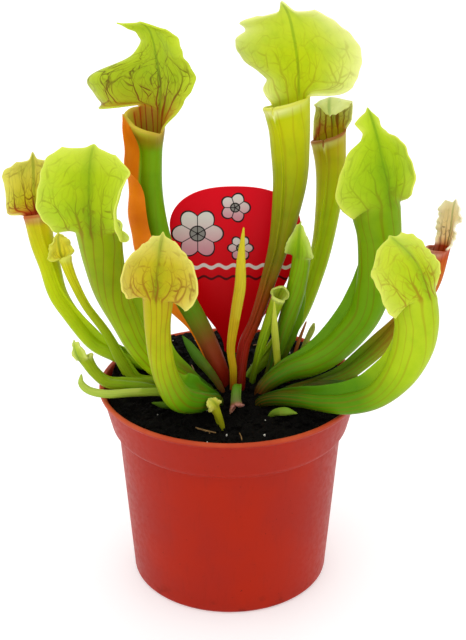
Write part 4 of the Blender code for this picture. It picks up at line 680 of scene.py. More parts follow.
def leaf_material(name, look, settings):
    """Living leaf skin: tones along the leaf, ribs with side branches and a fine net, pale margins, a
    fine waxy bump, and light that passes through the thin blade."""
    made, shader = new_material(name)
    grain, place, trim = (
        add("stored", tree=made.node_tree, attribute_name=key) for key in ("grain", "place", "trim")
    )
    radius, tone, inside = add("axes", place)
    edge, wing, blush = add("axes", trim)
    hood = add("span", tone, 0.96, 1.08)
    ribs, fine = vein_pattern(grain, radius, tone, hood)
    lines = add("MAXIMUM", ribs, fine)
    turned = add("ABSOLUTE", angle_of(*add("axes", grain)[:2]))
    from_middle = turned * (1 / NECK_HALF_ANGLE)
    # Each side of the leaf has its own strength of veins, and they fade towards tip and edge.
    on_tube, on_back, on_face = (value * settings.vein_strength for value in look["nets"])
    outside = add("MULTIPLY_ADD", hood, on_back - on_tube, on_tube)
    strength = add("MULTIPLY_ADD", on_face - outside, inside, outside)
    fading = add("span", tone, 1.1, 1.95, 1.0, 0.3) * add("span", edge, 0.02, 0.6, 1.0, 0.2)
    veins = add("MULTIPLY", lines * fading, strength, use_clamp=True)
    vein_colours = linear(look["vein"]), linear(look["blush_colour"])
    vein = add("mix", add("span", tone, 0.9, 1.5, 0.6, 0.0), *vein_colours)
    # The tube's colour runs up the middle of the hood's back, and a darker midrib up the middle of that.
    stops = [(at / 2, colour) for at, colour in look["tones"]]
    tube_colour = add("ramp", add("MINIMUM", tone, 0.82) * 0.5, stops=stops)
    tube_band = add("span", from_middle, 0.05, 0.75, 0.75, 0.0) * add("span", tone, 1.0, 1.9, 1.0, 0.3)
    midrib = add("span", from_middle, 0.03, 0.22, 0.45, 0.0) * (1.0 - inside)
    midrib = add("MAXIMUM", midrib, add("span", turned * radius, 0.3, 1.1, 0.8, 0.0)) * hood
    clouds = add("noise", in_millimetres(made), 0.12, 4.0, 0.55)
    border = add("POWER", from_middle, 3.0) * hood * look["margin"]
    # The tones' ramp carries painted shade at the crown: the darkest foot stops of some leaves stand for
    # shade between the crowded leaves.
    colour = layered(
        add("ramp", tone * 0.5, stops=stops),
        (tube_band * (1.0 - inside), tube_colour),
        (midrib, MIDRIB_SHADE, "times"),
        (add("span", clouds, 0.4, 0.75, 0.0, look["patches"]), CLOUD_SHADE, "times"),
        (border, linear(look["edge"])),
        (veins, vein),
    )
    if look["wing"]:
        wing_colour = add("mix", add("noise", grain, 0.5, 4.0, 0.55), *map(linear, look["wing"]))
        colour = layered(colour, (add("span", wing, 0.02, 0.12), wing_colour))
    mottled = blush * add("span", add("noise", grain, 0.9, 3.0, 0.55), 0.3, 0.6, 0.4, 1.0)
    rim = add("mix", add("span", tone, 1.01, 1.08), linear(look["lip"]), linear(look["edge"]))
    colour = layered(colour, (mottled, linear(look["blush_colour"])), (edge * 0.8, rim))
    height = add("MULTIPLY_ADD", lines, -0.6, add("noise", grain, 2.5, 2.0, 0.55))
    feed(shader, {
        "Base Color": colour, "Roughness": look["rough"], "Specular IOR Level": LEAF_GLOSS, **LEAF_LIGHT,
        "Normal": add("relief", height, 0.5, 0.12 * MM),
    })
    return made


def pot_material(settings):
    """Injection-moulded polypropylene: flow clouds, faint upright scuffs, a paler lip that is a painted
    highlight, fine dirt specks in patches, and peat dust by the foot."""
    made, shader = new_material("red_moulded_polypropylene")
    place = in_millimetres(made)
    height = add("axes", place)[2]
    top = settings.height / MM
    clouds = add("span", add("noise", place, 0.03, 3.0, 0.55), 0.35, 0.65)
    upright = add("squeezed", place, (1.0, 1.0, 0.12))
    scuffs = add("span", add("noise", upright, 0.5, 4.0, 0.7), 0.5, 0.8, 0.0, 0.25)
    # Painted highlight: the top 2.6 mm of the lip is mixed towards a paler orange, where the rolled lip
    # catches the light.
    lip_highlight = add("span", height, top - 2.6, top - 0.6) * add("span", clouds, 0.0, 1.0, 0.45, 0.8)
    specks = add("span", add("noise", place, 0.55, 2.0, 0.8), 0.7, 0.735)
    specks = specks * add("span", add("noise", place, 0.05, 2.0, 0.55), 0.46, 0.6)
    smudges = add("span", add("noise", place, 0.16, 4.0, 0.55), 0.52, 0.7)
    dust = add("span", height, 2.0, 12.0, 1.0, 0.0) * smudges
    dirt = add("MAXIMUM", specks, dust * 0.5)
    colour = layered(
        add("mix", clouds, (*settings.plastic_dark, 1.0), (*settings.plastic, 1.0)),
        (scuffs, linear("#7c1e0c")),
        (lip_highlight, linear("#c65a32")),
        (dirt * 0.75, linear("#32120a")),
    )
    rough = add("span", add("noise", place, 0.4, 4.0, 0.55), 0.3, 0.7, 0.34, 0.48)
    feed(shader, {
        "Base Color": colour, "Roughness": add("MULTIPLY_ADD", dirt, 0.3, rough),
        "Specular IOR Level": DULL_GLOSS,
        "Normal": add("relief", add("noise", place, 0.9, 3.0, 0.55), 0.4, 0.02 * MM),
    })
    return made


def peat_material(settings):
    """Damp peat: near black, with browner fibres and a dull, broken sheen."""
    made, shader = new_material("damp_peat")
    place = in_millimetres(made)
    coarse = add("noise", place, 0.35, 6.0, 0.7)
    stops = [(0.3, "#020201"), (0.5, "#070503"), (0.62, "#0f0b07"), (0.76, "#2c2015")]
    feed(shader, {
        "Base Color": add("mix", 0.25, add("ramp", coarse, stops=stops), (*settings.peat, 1.0)),
        "Roughness": add("span", coarse, 0.3, 0.7, 0.6, 0.95), "Specular IOR Level": DULL_GLOSS,
        "Normal": add("relief", add("noise", place, 1.2, 6.0, 0.8), 1.0, 0.8 * MM),
    })
    return made


def grain_material(name, low, high, rough):
    """A dry grain or fibre: two colours clouded together, with a rough skin."""
    made, shader = new_material(name)
    place = in_millimetres(made)
    feed(shader, {
        "Base Color": add("mix", add("noise", place, 0.8, 3.0, 0.55), linear(low), linear(high)),
        "Roughness": rough, "Normal": add("relief", add("noise", place, 3.0, 3.0, 0.55), 0.7, 0.2 * MM),
    })
    return made


def rosette(x, z, centre, radius, petals):
    """Print of a plain round flower, its edge at radius * (0.7 + 0.3 |cos(petals * angle / 2)|). Returns its
    field, its dark lines and its round middle, each 0 to 1."""
    dx, dz = x - centre[0], z - centre[1]
    reach = add("SQRT", add("MULTIPLY_ADD", dx, dx, dz * dz))
    wave = add("ABSOLUTE", add("COSINE", add("ARCTAN2", dz, dx) * (petals / 2)))
    inside = add("MULTIPLY_ADD", wave, 0.3 * radius, 0.7 * radius) - reach
    field = add("span", inside, 0.0, 0.25)
    outline = add("span", add("ABSOLUTE", inside), 0.3, 0.5, 1.0, 0.0)
    seams = add("span", wave * reach * (2 / petals), 0.12, 0.3, 1.0, 0.0) * field
    from_disc = reach - 0.3 * radius
    ring = add("span", add("ABSOLUTE", from_disc), 0.2, 0.4, 1.0, 0.0)
    lines = add("MAXIMUM", outline, add("MAXIMUM", ring, seams))
    return field, lines, add("span", from_disc, 0.0, 0.2, 1.0, 0.0)


def card_material(settings):
    """Printed plastic card: a red field that darkens downwards as painted shade of the leaves over its foot,
    three pale rosettes, and two wavy lines.
    """
    made, shader = new_material("printed_card")
    place = in_millimetres(made)
    x, _, z = add("axes", place)
    # Painted shade: the red runs from card_high at the head to the darker card_low towards the stake, where
    # the leaves shade the card.
    colour = add("mix", add("span", z, 118, 176), (*settings.card_low, 1.0), (*settings.card_high, 1.0))
    for centre, radius, petals in FLOWERS:
        field, lines, disc = rosette(x, z, centre, radius, petals)
        petal = add("mix", add("span", z, centre[1] - radius, centre[1] + radius),
                    (*settings.card_pink, 1.0), (*settings.card_print, 1.0))
        colour = layered(colour, (field, petal), (disc, linear("#8f8a88")), (lines, linear("#1a1416")))
    ripple = add("SINE", x * 0.9) * 0.7
    for height, half_width, ink in WAVY_LINES:
        apart = add("ABSOLUTE", z - ripple - height)
        line = add("span", apart, half_width - 0.15, half_width + 0.15, 1.0, 0.0)
        colour = layered(colour, (line * 0.9, linear(ink)))
    feed(shader, {
        "Base Color": colour, "Roughness": 0.32, "Specular IOR Level": DULL_GLOSS,
        "Normal": add("relief", add("noise", place, 0.8, 2.0, 0.55), 0.4, 0.03 * MM),
    })
    return made


# Leaves


def ring_angles():
    """Column angles from the tube's back: the neck's arc, then round the front, with the wing's columns."""
    back = np.linspace(-NECK_HALF_ANGLE, NECK_HALF_ANGLE, BACK_COLUMNS + 1)
    side = np.linspace(NECK_HALF_ANGLE, math.pi, FRONT_COLUMNS + 2)[1:-1]
    return np.concatenate([back, side, np.full(FIN_COLUMNS, math.pi), 2 * math.pi - side[::-1]])


def fin_columns():
    first = BACK_COLUMNS + 1 + FRONT_COLUMNS
    return slice(first, first + FIN_COLUMNS)


def fin_profile():
    """How far along the wing each of its columns stands, and on which face and how thick."""
    up = np.linspace(0.0, 1.0, FIN_COLUMNS // 2)
    thick = 1.0 + 0.6 * (1 - eased(up, 0.0, 0.25)) - 0.55 * eased(up, 0.85, 1.0)
    return np.concatenate([up, up[::-1]]), np.concatenate([thick, -thick[::-1]])


def tube_rings(leaf, path, forward, front, right, shrink):
    """Rings round the spine: radius times (sin, -cos) of the column angle, flared at the mouth's front. The
    outer ones carry the wing, an arc that leaves the front and bends by its curl angle."""
    angle = ring_angles()
    share = np.linspace(0.0, 1.0, len(path))[:, None]
    radius = path[:, 3:4] - shrink
    is_front = eased(np.abs(np.where(angle > math.pi, 2 * math.pi - angle, angle)), NECK_HALF_ANGLE, 3.0)
    mouth = eased(share, MOUTH_START, 1.0)
    across = radius * (1 + leaf["flare"] * mouth**2 * is_front)
    sideways = across * np.sin(angle)
    ahead = -across * np.cos(angle)
    if shrink == 0.0:
        roll = LIP_ROLL * is_front * eased(share, LIP_START, 1.0) ** 2
        sideways = sideways + roll * np.sin(angle)
        ahead = ahead - roll * np.cos(angle)
    fin = fin_columns()
    along_wing, face = fin_profile()
    half = face * np.minimum(FIN_HALF_THICKNESS, FIN_SHARE * radius)
    if shrink == 0.0:
        top = leaf["wing_top"]
        width = leaf["wing"] * eased(share, leaf["wing_foot"], leaf["wing_foot"] + WING_RISE)
        width = width * (1 - eased(share, top - WING_FALL, top))
        width = width * (1 + leaf["wing_wave"] * np.sin(2 * math.pi * WING_WAVES * share))
        bend = math.radians(leaf["wing_curl"]) * (1 - 0.9 * eased(share, 0.75, 1.0))
        bend = bend * along_wing * width / leaf["wing"] + LEAST_BEND
        reach = (FIN_LEAST + width) * along_wing
        wave = WING_FRILL * width * np.sin(2 * math.pi * SMALL_WAVES * share + 0.7) * along_wing**2
        sideways[:, fin] = WING_FLATNESS * reach * (1 - np.cos(bend)) / bend + (half + wave) * np.cos(bend)
        ahead[:, fin] = ahead[:, fin] + reach * np.sin(bend) / bend - (half + wave) * np.sin(bend)
    else:
        sideways[:, fin] = half * (1 - 0.6 * along_wing)
    drop = (leaf["lip_tilt"] * np.sin(angle) - leaf["lip_drop"] * (1 - np.cos(angle)) / 2) * mouth
    if shrink == 0.0:
        drop[:, fin] = drop[:, fin] + leaf["lip_tilt"] * along_wing * mouth
    return (
        path[:, None, :3]
        + sideways[..., None] * right[:, None]
        + ahead[..., None] * front[:, None]
        + drop[..., None] * forward[:, None]
    )


def sided(pair, u):
    """A value for each side of the hood: the first for the -R side and the second for the +R side."""
    return np.where(u < 0, pair[0], pair[1])


def hood_rows(leaf, arc, radius, forward, front, right, rows):
    """The hood's outer face, the directions to its mouth side, half widths, v, and distances to the edge.

    Row v is a curve laid out from the middle to both edges by its turning angle, cup*u less a roll that
    grows as u to the fourth, and the rows climb a middle line that arches over the mouth.
    """
    v = np.linspace(0.0, 1.0, rows + 1) ** HOOD_ROW_CROWDING
    fine = 2
    u = np.linspace(-1.0, 1.0, BACK_COLUMNS * fine + 1)
    neck = radius * NECK_HALF_ANGLE
    widths = [through(leaf[side], v) for side in ("minus", "plus")]
    opening = eased(v, 0.0, HOOD_OPEN)[:, None]
    half_width = np.maximum(neck + (sided(widths, u) - neck) * opening, LEAST_HALF_WIDTH)
    for side, at, gain, spread in leaf["nicks"]:
        half_width = half_width + (u * side > 0) * gain * hill(v, at, spread)[:, None]
    opened = eased(v, 0.0, 0.22)[:, None]
    curve = NECK_HALF_ANGLE * (1 - opened) + sided(leaf["cup"], u) * opened
    rolled = (eased(v, 0.02, 0.2) * (1 - 0.6 * eased(v, 0.45, 0.95)))[:, None] * sided(leaf["reflex"], u)
    turn = curve * u - rolled * HOOD_ROLL * u * np.abs(u) ** 3
    step = half_width * (u[1] - u[0])
    sums = [np.cumsum(step * part, axis=1) for part in (np.cos(turn), np.sin(turn))]
    middle = BACK_COLUMNS * fine // 2
    sideways, ahead = (total[:, ::fine] - total[:, middle : middle + 1] for total in sums)
    u, turn, half_width = u[::fine], turn[:, ::fine], half_width[:, ::fine]
    curl = math.radians(leaf["curl"]) * eased(v, 0.8, 1.0)
    lean = np.radians(leaf["lean"] + leaf["arch"] * v**HOOD_ARCH_POWER) + curl
    rise = (np.diff(v) * leaf["height"])[:, None]
    upward = np.cos(lean)[:, None] * forward + np.sin(lean)[:, None] * front
    outward = np.cos(lean)[:, None] * front - np.sin(lean)[:, None] * forward
    climb = np.vstack([[0, 0, 0], np.cumsum((upward[:-1] + upward[1:]) / 2 * rise, axis=0)])
    spine = arc[BACK_COLUMNS // 2] + climb + (leaf["sway"] * v**SWAY_POWER)[:, None] * right
    hang = (eased(v, 0.0, 0.16) * (1 - eased(v, 0.25, 0.75)))[:, None] * sided(leaf["low"], u)
    hang = (hang + sided(leaf["high"], u) * eased(v, 0.5, 0.9)[:, None]) * np.abs(u) ** HANG_POWER
    shape = (eased(v, 0.1, 0.3) * (1 - eased(v, 0.85, 1.0)))[:, None]
    phase = SIDE_PHASE * np.sign(u)
    ripple = leaf["ripple"] * np.abs(u) ** 2 * np.sin(2 * math.pi * (leaf["waves"] * v[:, None] + phase))
    frill = leaf["frill"] * np.abs(u) ** 4 * np.sin(2 * math.pi * (SMALL_WAVES * v[:, None] + 2.3 * phase))
    dents = DENT_SHARE * leaf["ripple"] * wobble(3.1 * u + 5.0, 4.0 * v[:, None], len(leaf["spine"])) * shape
    ripple = (ripple + frill) * shape + dents
    point = leaf["point"] * hill(u, 0.0, POINT_WIDTH) * eased(v, 0.8, 1.0)[:, None]
    points = (
        spine[:, None]
        + sideways[..., None] * right
        + (ahead + ripple)[..., None] * outward[:, None]
        + (point - hang)[..., None] * upward[:, None]
    )
    offset = arc - points[0]
    inward = np.cos(turn)[..., None] * outward[:, None] - np.sin(turn)[..., None] * right
    points = points + (1 - eased(v, 0.0, 0.2))[:, None, None] * offset
    square = unit(np.cross(np.gradient(points, axis=0), np.gradient(points, axis=1)))
    to_side = (1 - np.abs(u)) * half_width
    to_top = ((1 - v) * leaf["height"])[:, None] * np.ones_like(u)
    return points, unit(square + HOOD_SMOOTHING * inward), half_width, v, np.minimum(to_side, to_top)


def drum(angle, width, along_mm):
    """A point's place in the leaf's pattern space: on a drum of that width at that angle and height."""
    return np.stack(np.broadcast_arrays(width * np.sin(angle), -width * np.cos(angle), along_mm), -1)


def hill(value, middle, spread):
    """1 in the middle, falling off on both sides like a bell curve."""
    return np.exp(-(((value - middle) / spread) ** 2))


def pitcher(name, leaf, settings):
    """One closed shell: the tube with its wing, a rolled lip, the throat inside, and the hood as a blade."""
    rings, throat_rings, rows = SMALL_GRID if leaf["small"] else LARGE_GRID
    wall, blade = settings.wall / MM, settings.blade / MM
    path, length = along(leaf["spine"], rings)
    share = np.linspace(0.0, 1.0, rings)
    low, high = leaf["faces"]
    forward, front, right = frames(path, low + (high - low) * eased(share, TURN_START, 1.0))
    outer = tube_rings(leaf, path, forward, front, right, 0.0)
    down = slice(None, -throat_rings - 1, -1)
    throat = tube_rings(leaf, path, forward, front, right, wall)[down]
    neck = slice(0, BACK_COLUMNS + 1)
    back, inward, half_width, v, to_edge = hood_rows(
        leaf, outer[-1, neck], path[-1, 3], forward[-1], front[-1], right[-1], rows
    )
    depth = blade + (wall - blade) * (1 - eased(v, 0.0, 0.4))
    face = back + inward * depth[:, None, None]
    around = np.concatenate([np.arange(BACK_COLUMNS, outer.shape[1]), [0]])
    swing = (np.arange(1, LIP_STEPS + 1) / (LIP_STEPS + 1) * math.pi)[:, None, None]
    rim_out, rim_in = outer[-1, around], throat[0, around]
    to_lip_end = np.minimum(np.arange(len(around)), np.arange(len(around))[::-1])
    raised = eased(to_lip_end / LIP_END_COLUMNS)[None, :, None]
    bead = (rim_out + rim_in) / 2 + (rim_out - rim_in) / 2 * np.cos(swing)
    bead = bead + forward[-1] * np.sin(swing) * (0.25 + 0.75 * raised)
    # Pattern space, place and trim of every point, block by block.
    angle = ring_angles()
    along_wing, _ = fin_profile()
    wing = np.zeros((rings, outer.shape[1]))
    wing[:, fin_columns()] = along_wing
    arc = angle[neck]
    neck_width = path[-1, 3] * NECK_HALF_ANGLE
    widened = (half_width / neck_width) ** GRAIN_SPREAD
    hood_mm = v * leaf["height"]
    mouth_mm = length * GRAIN_ALONG_TUBE
    hood_grain = drum(arc, GRAIN_RADIUS * widened, (mouth_mm + hood_mm * GRAIN_ALONG_HOOD)[:, None])
    hood_edge = np.exp(-np.maximum(to_edge, 0) / EDGE_FADE)
    u = np.linspace(-1, 1, BACK_COLUMNS + 1)
    look = LOOKS[leaf["look"]]
    hood_red = sided(look["blush"], u) * hill(np.abs(u), *BLUSH_ACROSS) * hill(v, *BLUSH_UP)[:, None]
    blocks = []

    def block(points, grain, radius, tone, inside, edge, wing_share, blush):
        shape = points.shape[:-1]
        full = [np.broadcast_to(value, shape) for value in (radius, tone, inside, edge, wing_share, blush)]
        blocks.append((points, grain, np.stack(full[:3], -1), np.stack(full[3:], -1)))

    share = share[:, None]
    near_lip = np.exp(-(1 - share) * length / LIP_FADE) * eased(np.cos(angle) * -1, -0.2, 0.3)
    outer_grain = drum(angle, GRAIN_RADIUS + WING_GRAIN * wing, share * length * GRAIN_ALONG_TUBE)
    block(outer, outer_grain, path[:, 3:4], share, 0.0, near_lip, wing, 0.0)
    bead_grain = drum(angle[around], GRAIN_RADIUS, mouth_mm + np.zeros((LIP_STEPS, 1)))
    block(bead, bead_grain, path[-1, 3], 1.0, 0.5, 1.0, 0.0, 0.0)
    throat_red = 0.8 * max(look["blush"]) * hill(np.cos(angle), *THROAT_BLUSH) * eased(share[down], 0.9, 1.0)
    throat_grain = drum(angle, GRAIN_RADIUS, share[down] * length * GRAIN_ALONG_TUBE)
    throat_tone = 0.8 + 0.2 * share[down]
    block(throat, throat_grain, path[down, 3:4], throat_tone, 1.0, near_lip[down], 0.0, throat_red)
    for rows_of_points, inside in ((back, 0.0), (face, 1.0)):
        block(rows_of_points[1:], hood_grain[1:], half_width[1:] / NECK_HALF_ANGLE, 1.0 + v[1:, None], inside,
              hood_edge[1:], 0.0, hood_red[1:] * (0.3 + 0.7 * inside))
    ends = np.stack([path[0, :3], throat[-1].mean(axis=0)])
    end_grain = np.array([[0, 0, 0], [0, 0, mouth_mm * 0.8]])
    block(ends, end_grain, 3.0, np.array([0.0, 0.8]), np.array([0.0, 1.0]), 0.0, 0.0, 0.0)
    starts = np.cumsum([0] + [b[0][..., 0].size for b in blocks])
    index = [start + numbered(b[0].shape[:-1]) for start, b in zip(starts, blocks)]
    tube, lip, inner, hood_back, hood_face, caps = index
    hood_back = np.vstack([tube[-1:, neck], hood_back])
    hood_face = np.vstack([inner[:1, neck], hood_face])
    faces = [
        grid_faces(tube, closed=True),
        grid_faces(inner, closed=True),
        grid_faces(hood_back),
        grid_faces(hood_face)[:, ::-1],
        grid_faces(np.vstack([tube[-1:, around], lip, inner[:1, around]])),
        grid_faces(np.stack([hood_back[:, 0], hood_face[:, 0]])),
        grid_faces(np.stack([hood_face[:, -1], hood_back[:, -1]])),
        grid_faces(np.stack([hood_back[-1], hood_face[-1]])),
        fan(tube[0], caps[0])[:, ::-1],
        fan(inner[-1], caps[1]),
        lip_end(tube[-1, around[0]], lip[:, 0], inner[0, around[0]]),
        lip_end(tube[-1, around[-1]], lip[:, -1], inner[0, around[-1]])[:, ::-1],
    ]
    values = [np.concatenate([b[kind].reshape(-1, 3) for b in blocks]) for kind in range(4)]
    leaf_piece(name, faces, look, settings, *values)


def leaf_piece(name, faces, look, settings, points, grain, place, trim):
    """A leaf's piece with its stored pattern space, place and trim, and its skin."""
    piece = add_mesh(name + "_leaf", points, faces, {"grain": grain, "place": place, "trim": trim}, node=name)
    piece.data.materials.append(leaf_material(name + "_skin", look, settings))


def lip_end(first, steps, last):
    """Triangles that close the end of the rolled lip where it meets the hood's foot."""
    chain = np.concatenate([[first], steps, [last]])
    return np.stack([np.full(len(chain) - 2, chain[0]), chain[2:], chain[1:-1]], axis=1)


def blade_leaf(name, spine, faces, thickness, tones, settings):
    """A leaf without a mouth: an ellipse with a keel behind and a groove in front, carried along its spine
    and closed to a point, its half width the spine's last value."""
    rings, sides = BLADE_GRID
    path, length = along(spine, rings)
    forward, front, right = frames(path, np.full(rings, float(faces)))
    angle = turns(sides)
    wide = path[:, 3:4]
    thick = np.minimum(np.maximum(thickness / 2 + wide * 0.25, 0.3), wide + 0.2)
    groove = 0.3 * thick * hill(np.cos(angle), 0.0, 0.35) * (np.sin(angle) > 0)
    lift = thick * np.sin(angle) - 0.3 * wide * np.cos(angle) ** 2 - groove
    across = wide * np.cos(angle)
    points = path[:, None, :3] + across[..., None] * right[:, None] + lift[..., None] * front[:, None]
    tip = path[-1, :3] + forward[-1] * 0.8
    share = np.linspace(0.0, 1.0, rings)[:, None]
    grain = drum(angle, GRAIN_RADIUS / 2, share * length * GRAIN_ALONG_TUBE)
    everything = np.vstack([points.reshape(-1, 3), path[:1, :3], tip[None]])
    grain = np.vstack([grain.reshape(-1, 3), grain[0].mean(0)[None], grain[-1].mean(0)[None]])
    tone = np.concatenate([np.repeat(share[:, 0], sides), [0.0, 1.0]]) * 2
    edge = np.concatenate([(np.abs(np.cos(angle)) ** 12 * np.ones((rings, 1))).ravel() * 0.5, [0.0, 0.0]])
    nothing = np.zeros_like(tone)
    place = np.stack([np.full_like(tone, 2.0), tone, nothing], -1)
    trim = np.stack([edge, nothing, nothing], -1)
    look = leaf_look(tones, tones[0][1], (0.25, 0.25, 0.25), tones[-1][1])
    leaf_piece(name, capped(numbered((rings, sides))), look, settings, everything, grain, place, trim)


# Pot, peat and card


def lathe(profile, segments):
    """Points and faces of a profile of (radius, height) turned round Z, closed on the axis at both ends."""
    profile = np.array(profile, float)
    angle = turns(segments)
    rings = profile[1:-1]
    height = np.repeat(rings[:, 1:2], segments, axis=1)
    points = np.stack([rings[:, 0:1] * np.cos(angle), rings[:, 0:1] * np.sin(angle), height], -1)
    everything = np.vstack([points.reshape(-1, 3), [(0, 0, profile[0, 1]), (0, 0, profile[-1, 1])]])
    return everything, capped(numbered((len(rings), segments)))


def rounded(profile, radius, steps=5):
    """A profile whose inner corners are each replaced by a short quadratic curve that starts radius away."""
    points = np.array(profile, float)
    out = [points[0]]
    for before, corner, after in zip(points[:-2], points[1:-1], points[2:]):
        reach = min(radius, np.linalg.norm(before - corner) * 0.45, np.linalg.norm(after - corner) * 0.45)
        first = corner + unit(before - corner) * reach
        last = corner + unit(after - corner) * reach
        t = np.linspace(0.0, 1.0, steps)[:, None]
        out.extend((1 - t) ** 2 * first + 2 * t * (1 - t) * corner + t**2 * last)
    out.append(points[-1])
    return np.array(out)


def pot_inside_radius(height, settings):
    """Radius of the pot's inner wall at a height."""
    top, rim = settings.height / MM, settings.rim_radius / MM
    if height < STEP_HEIGHT:
        return BASE_RADIUS + (STEP_RADIUS - BASE_RADIUS) * height / STEP_HEIGHT - POT_WALL
    share = (height - STEP_HEIGHT) / (top - STEP_HEIGHT)
    return COLLAR_FOOT_RADIUS + (rim - COLLAR_INSET - COLLAR_FOOT_RADIUS) * share - POT_WALL


def soil_height(x, y, settings):
    """The peat's skin: heaped behind and at the left, with a low mound at the crown and slow lumps."""
    behind = eased(y, -25.0, 50.0)
    left = eased(-x, 20.0, 52.0) * eased(y, -20.0, 15.0)
    crown = np.exp(-((x - CROWN[0]) ** 2 + (y - CROWN[1]) ** 2) / CROWN_SPREAD)
    lumps = np.sin(x * 0.41 + 1.3) * np.sin(y * 0.37 - 0.6) + 0.6 * np.sin(x * 0.93 - y * 0.71)
    rim = eased(np.hypot(x, y), 36.0, 56.0)
    edge = (settings.pot.height - settings.peat.edge_drop) / MM
    heaps = HEAP_BEHIND * behind + HEAP_LEFT * left + HEAP_CROWN * crown
    return edge + heaps + LUMPS * lumps * (1 - 0.5 * rim)


def card_outline():
    """Heights and half widths of the card: a broad rounded head that runs into its stake."""
    dome = CARD_TOP - CARD_MIDDLE
    knots = [(STAKE_FOOT, 0.8), (STAKE_FOOT + 8, STAKE_HALF_WIDTH), *CARD_SHOULDERS]
    heights, halves = (np.array(column, float) for column in zip(*knots))
    low = np.linspace(STAKE_FOOT, CARD_MIDDLE, 90)
    turn = np.linspace(0, math.pi / 2, 50)
    half_low = np.interp(low, np.append(heights, CARD_MIDDLE), np.append(halves, CARD_HALF_WIDTH))
    soft = np.convolve(np.pad(half_low, 4, mode="edge"), np.ones(9) / 9, mode="valid")
    half_low[10:-6] = soft[10:-6]
    high = CARD_MIDDLE + dome * np.sin(turn[1:])
    half_high = np.maximum(CARD_HALF_WIDTH * np.cos(turn[1:]) ** 0.8, 1.5)
    return np.concatenate([low, high]), np.concatenate([half_low, half_high])


# Settings, operators and panel


def size(name, description, default):
    return FloatProperty(name=name, description=description, default=default, unit="LENGTH", min=0.0001)


def amount(name, description, default, **options):
    return FloatProperty(name=name, description=description, default=default, min=0.0, **options)


def tint(name, description, colour):
    start = linear(colour)[:3]
    return FloatVectorProperty(
        name=name, description=description, default=start, subtype="COLOR", size=3, min=0.0, max=1.0
    )


class PotSettings(bpy.types.PropertyGroup):
    """Sizes and colours of the moulded pot."""

    rim_radius: size("Rim radius", "Half of the pot's widest width, over its lip", 0.060)
    height: size("Height", "Height of the pot", 0.0965)
    plastic: tint("Plastic", "Colour of the pot", "#a82004")
    plastic_dark: tint("Plastic, shaded", "Colour of the flow clouds in the plastic", "#a0200e")


class PeatSettings(bpy.types.PropertyGroup):
    """Sizes and colours of the peat and what lies on it."""

    edge_drop: size("Drop at the edge", "How far the peat's front edge lies below the rim", 0.006)
    lump: size("Lumps", "Height of the largest crumbs in the skin", 0.0022)
    crumbs: IntProperty(name="Crumbs", description="How many loose crumbs lie on it", default=620, min=0)
    perlite: IntProperty(name="Perlite", description="How many white grains lie on it", default=34, min=0)
    peat: tint("Peat", "Main colour of the peat", "#0a0705")


class LeafSettings(bpy.types.PropertyGroup):
    """What all the leaves share."""

    wall: size("Tube wall", "Thickness of a pitcher's wall at its mouth", 0.0009)
    blade: size("Hood blade", "Thickness of a hood", 0.0007)
    vein_strength: amount("Vein strength", "How strongly veins are coloured", 1.0, max=1.5, subtype="FACTOR")


class CardSettings(bpy.types.PropertyGroup):
    """Sizes and colours of the picture card."""

    thickness: size("Thickness", "Thickness of the card", 0.0008)
    card_high: tint("Red, top", "Colour of the card's head", "#ea001c")
    # Painted shade: the darker red near the stake stands for the leaves' shade on the card.
    card_low: tint("Red, foot", "Colour of the card near its stake", "#dc000c")
    card_print: tint("Print, pale", "Colour of the petals' pale end", "#e6e2de")
    card_pink: tint("Print, pink", "Colour of the petals' pink end", "#d98fa0")


class StageSettings(bpy.types.PropertyGroup):
    """Floor, lights and camera."""

    floor: tint("Floor", "Colour of the floor", "#e4e4e4")
    glow: amount("Floor glow", "How far the floor shines by itself", 0.36)
    key: amount("Lights", "Power of each large soft light, in watts", 1.9)
    sky: amount("Sky", "Strength of the white surroundings", 0.94)


class PlantSettings(bpy.types.PropertyGroup):
    """All the settings of the potted plant."""

    pot: PointerProperty(type=PotSettings)
    peat: PointerProperty(type=PeatSettings)
    leaf: PointerProperty(type=LeafSettings)
    card: PointerProperty(type=CardSettings)
    stage: PointerProperty(type=StageSettings)


class PLANT_OT_pot(bpy.types.Operator):
    """Make the moulded pot with its flared collar, rolled lip and drain holes"""

    bl_idname = "plant.pot"
    bl_label = "Pot"

    def execute(self, context):
        settings = context.scene.plant.pot
        top, rim = settings.height / MM, settings.rim_radius / MM
        outside = [
            (0, 0.0), (BASE_RADIUS - 6, 0.0), (BASE_RADIUS - 1.6, 0.0), (BASE_RADIUS - 0.3, 1.3),
            (BASE_RADIUS + 0.05, 6.0), (STEP_RADIUS, STEP_HEIGHT - 1.2),
            (COLLAR_FOOT_RADIUS - 0.8, STEP_HEIGHT), (COLLAR_FOOT_RADIUS, STEP_HEIGHT + 1.4),
            (rim - 1.5, top - LIP_THICKNESS - 1.0), (rim, top - LIP_THICKNESS), (rim, top - 0.5),
            (rim - 0.7, top), (rim - 2.0, top - 0.4),
        ]
        inside = (top - 3, STEP_HEIGHT + 2, STEP_HEIGHT - 1, POT_FLOOR)
        outside += [(pot_inside_radius(height, settings), height) for height in inside] + [(0, POT_FLOOR)]
        points, faces = lathe(rounded(outside, 0.9), 192)
        piece = add_mesh("pot_shell", points, faces, node="pot", sharp=75)
        for number in range(DRAIN_HOLES):
            drill(piece, (number + 0.37) * 2 * math.pi / DRAIN_HOLES)
        piece.data.materials.append(pot_material(settings))
        return {"FINISHED"}


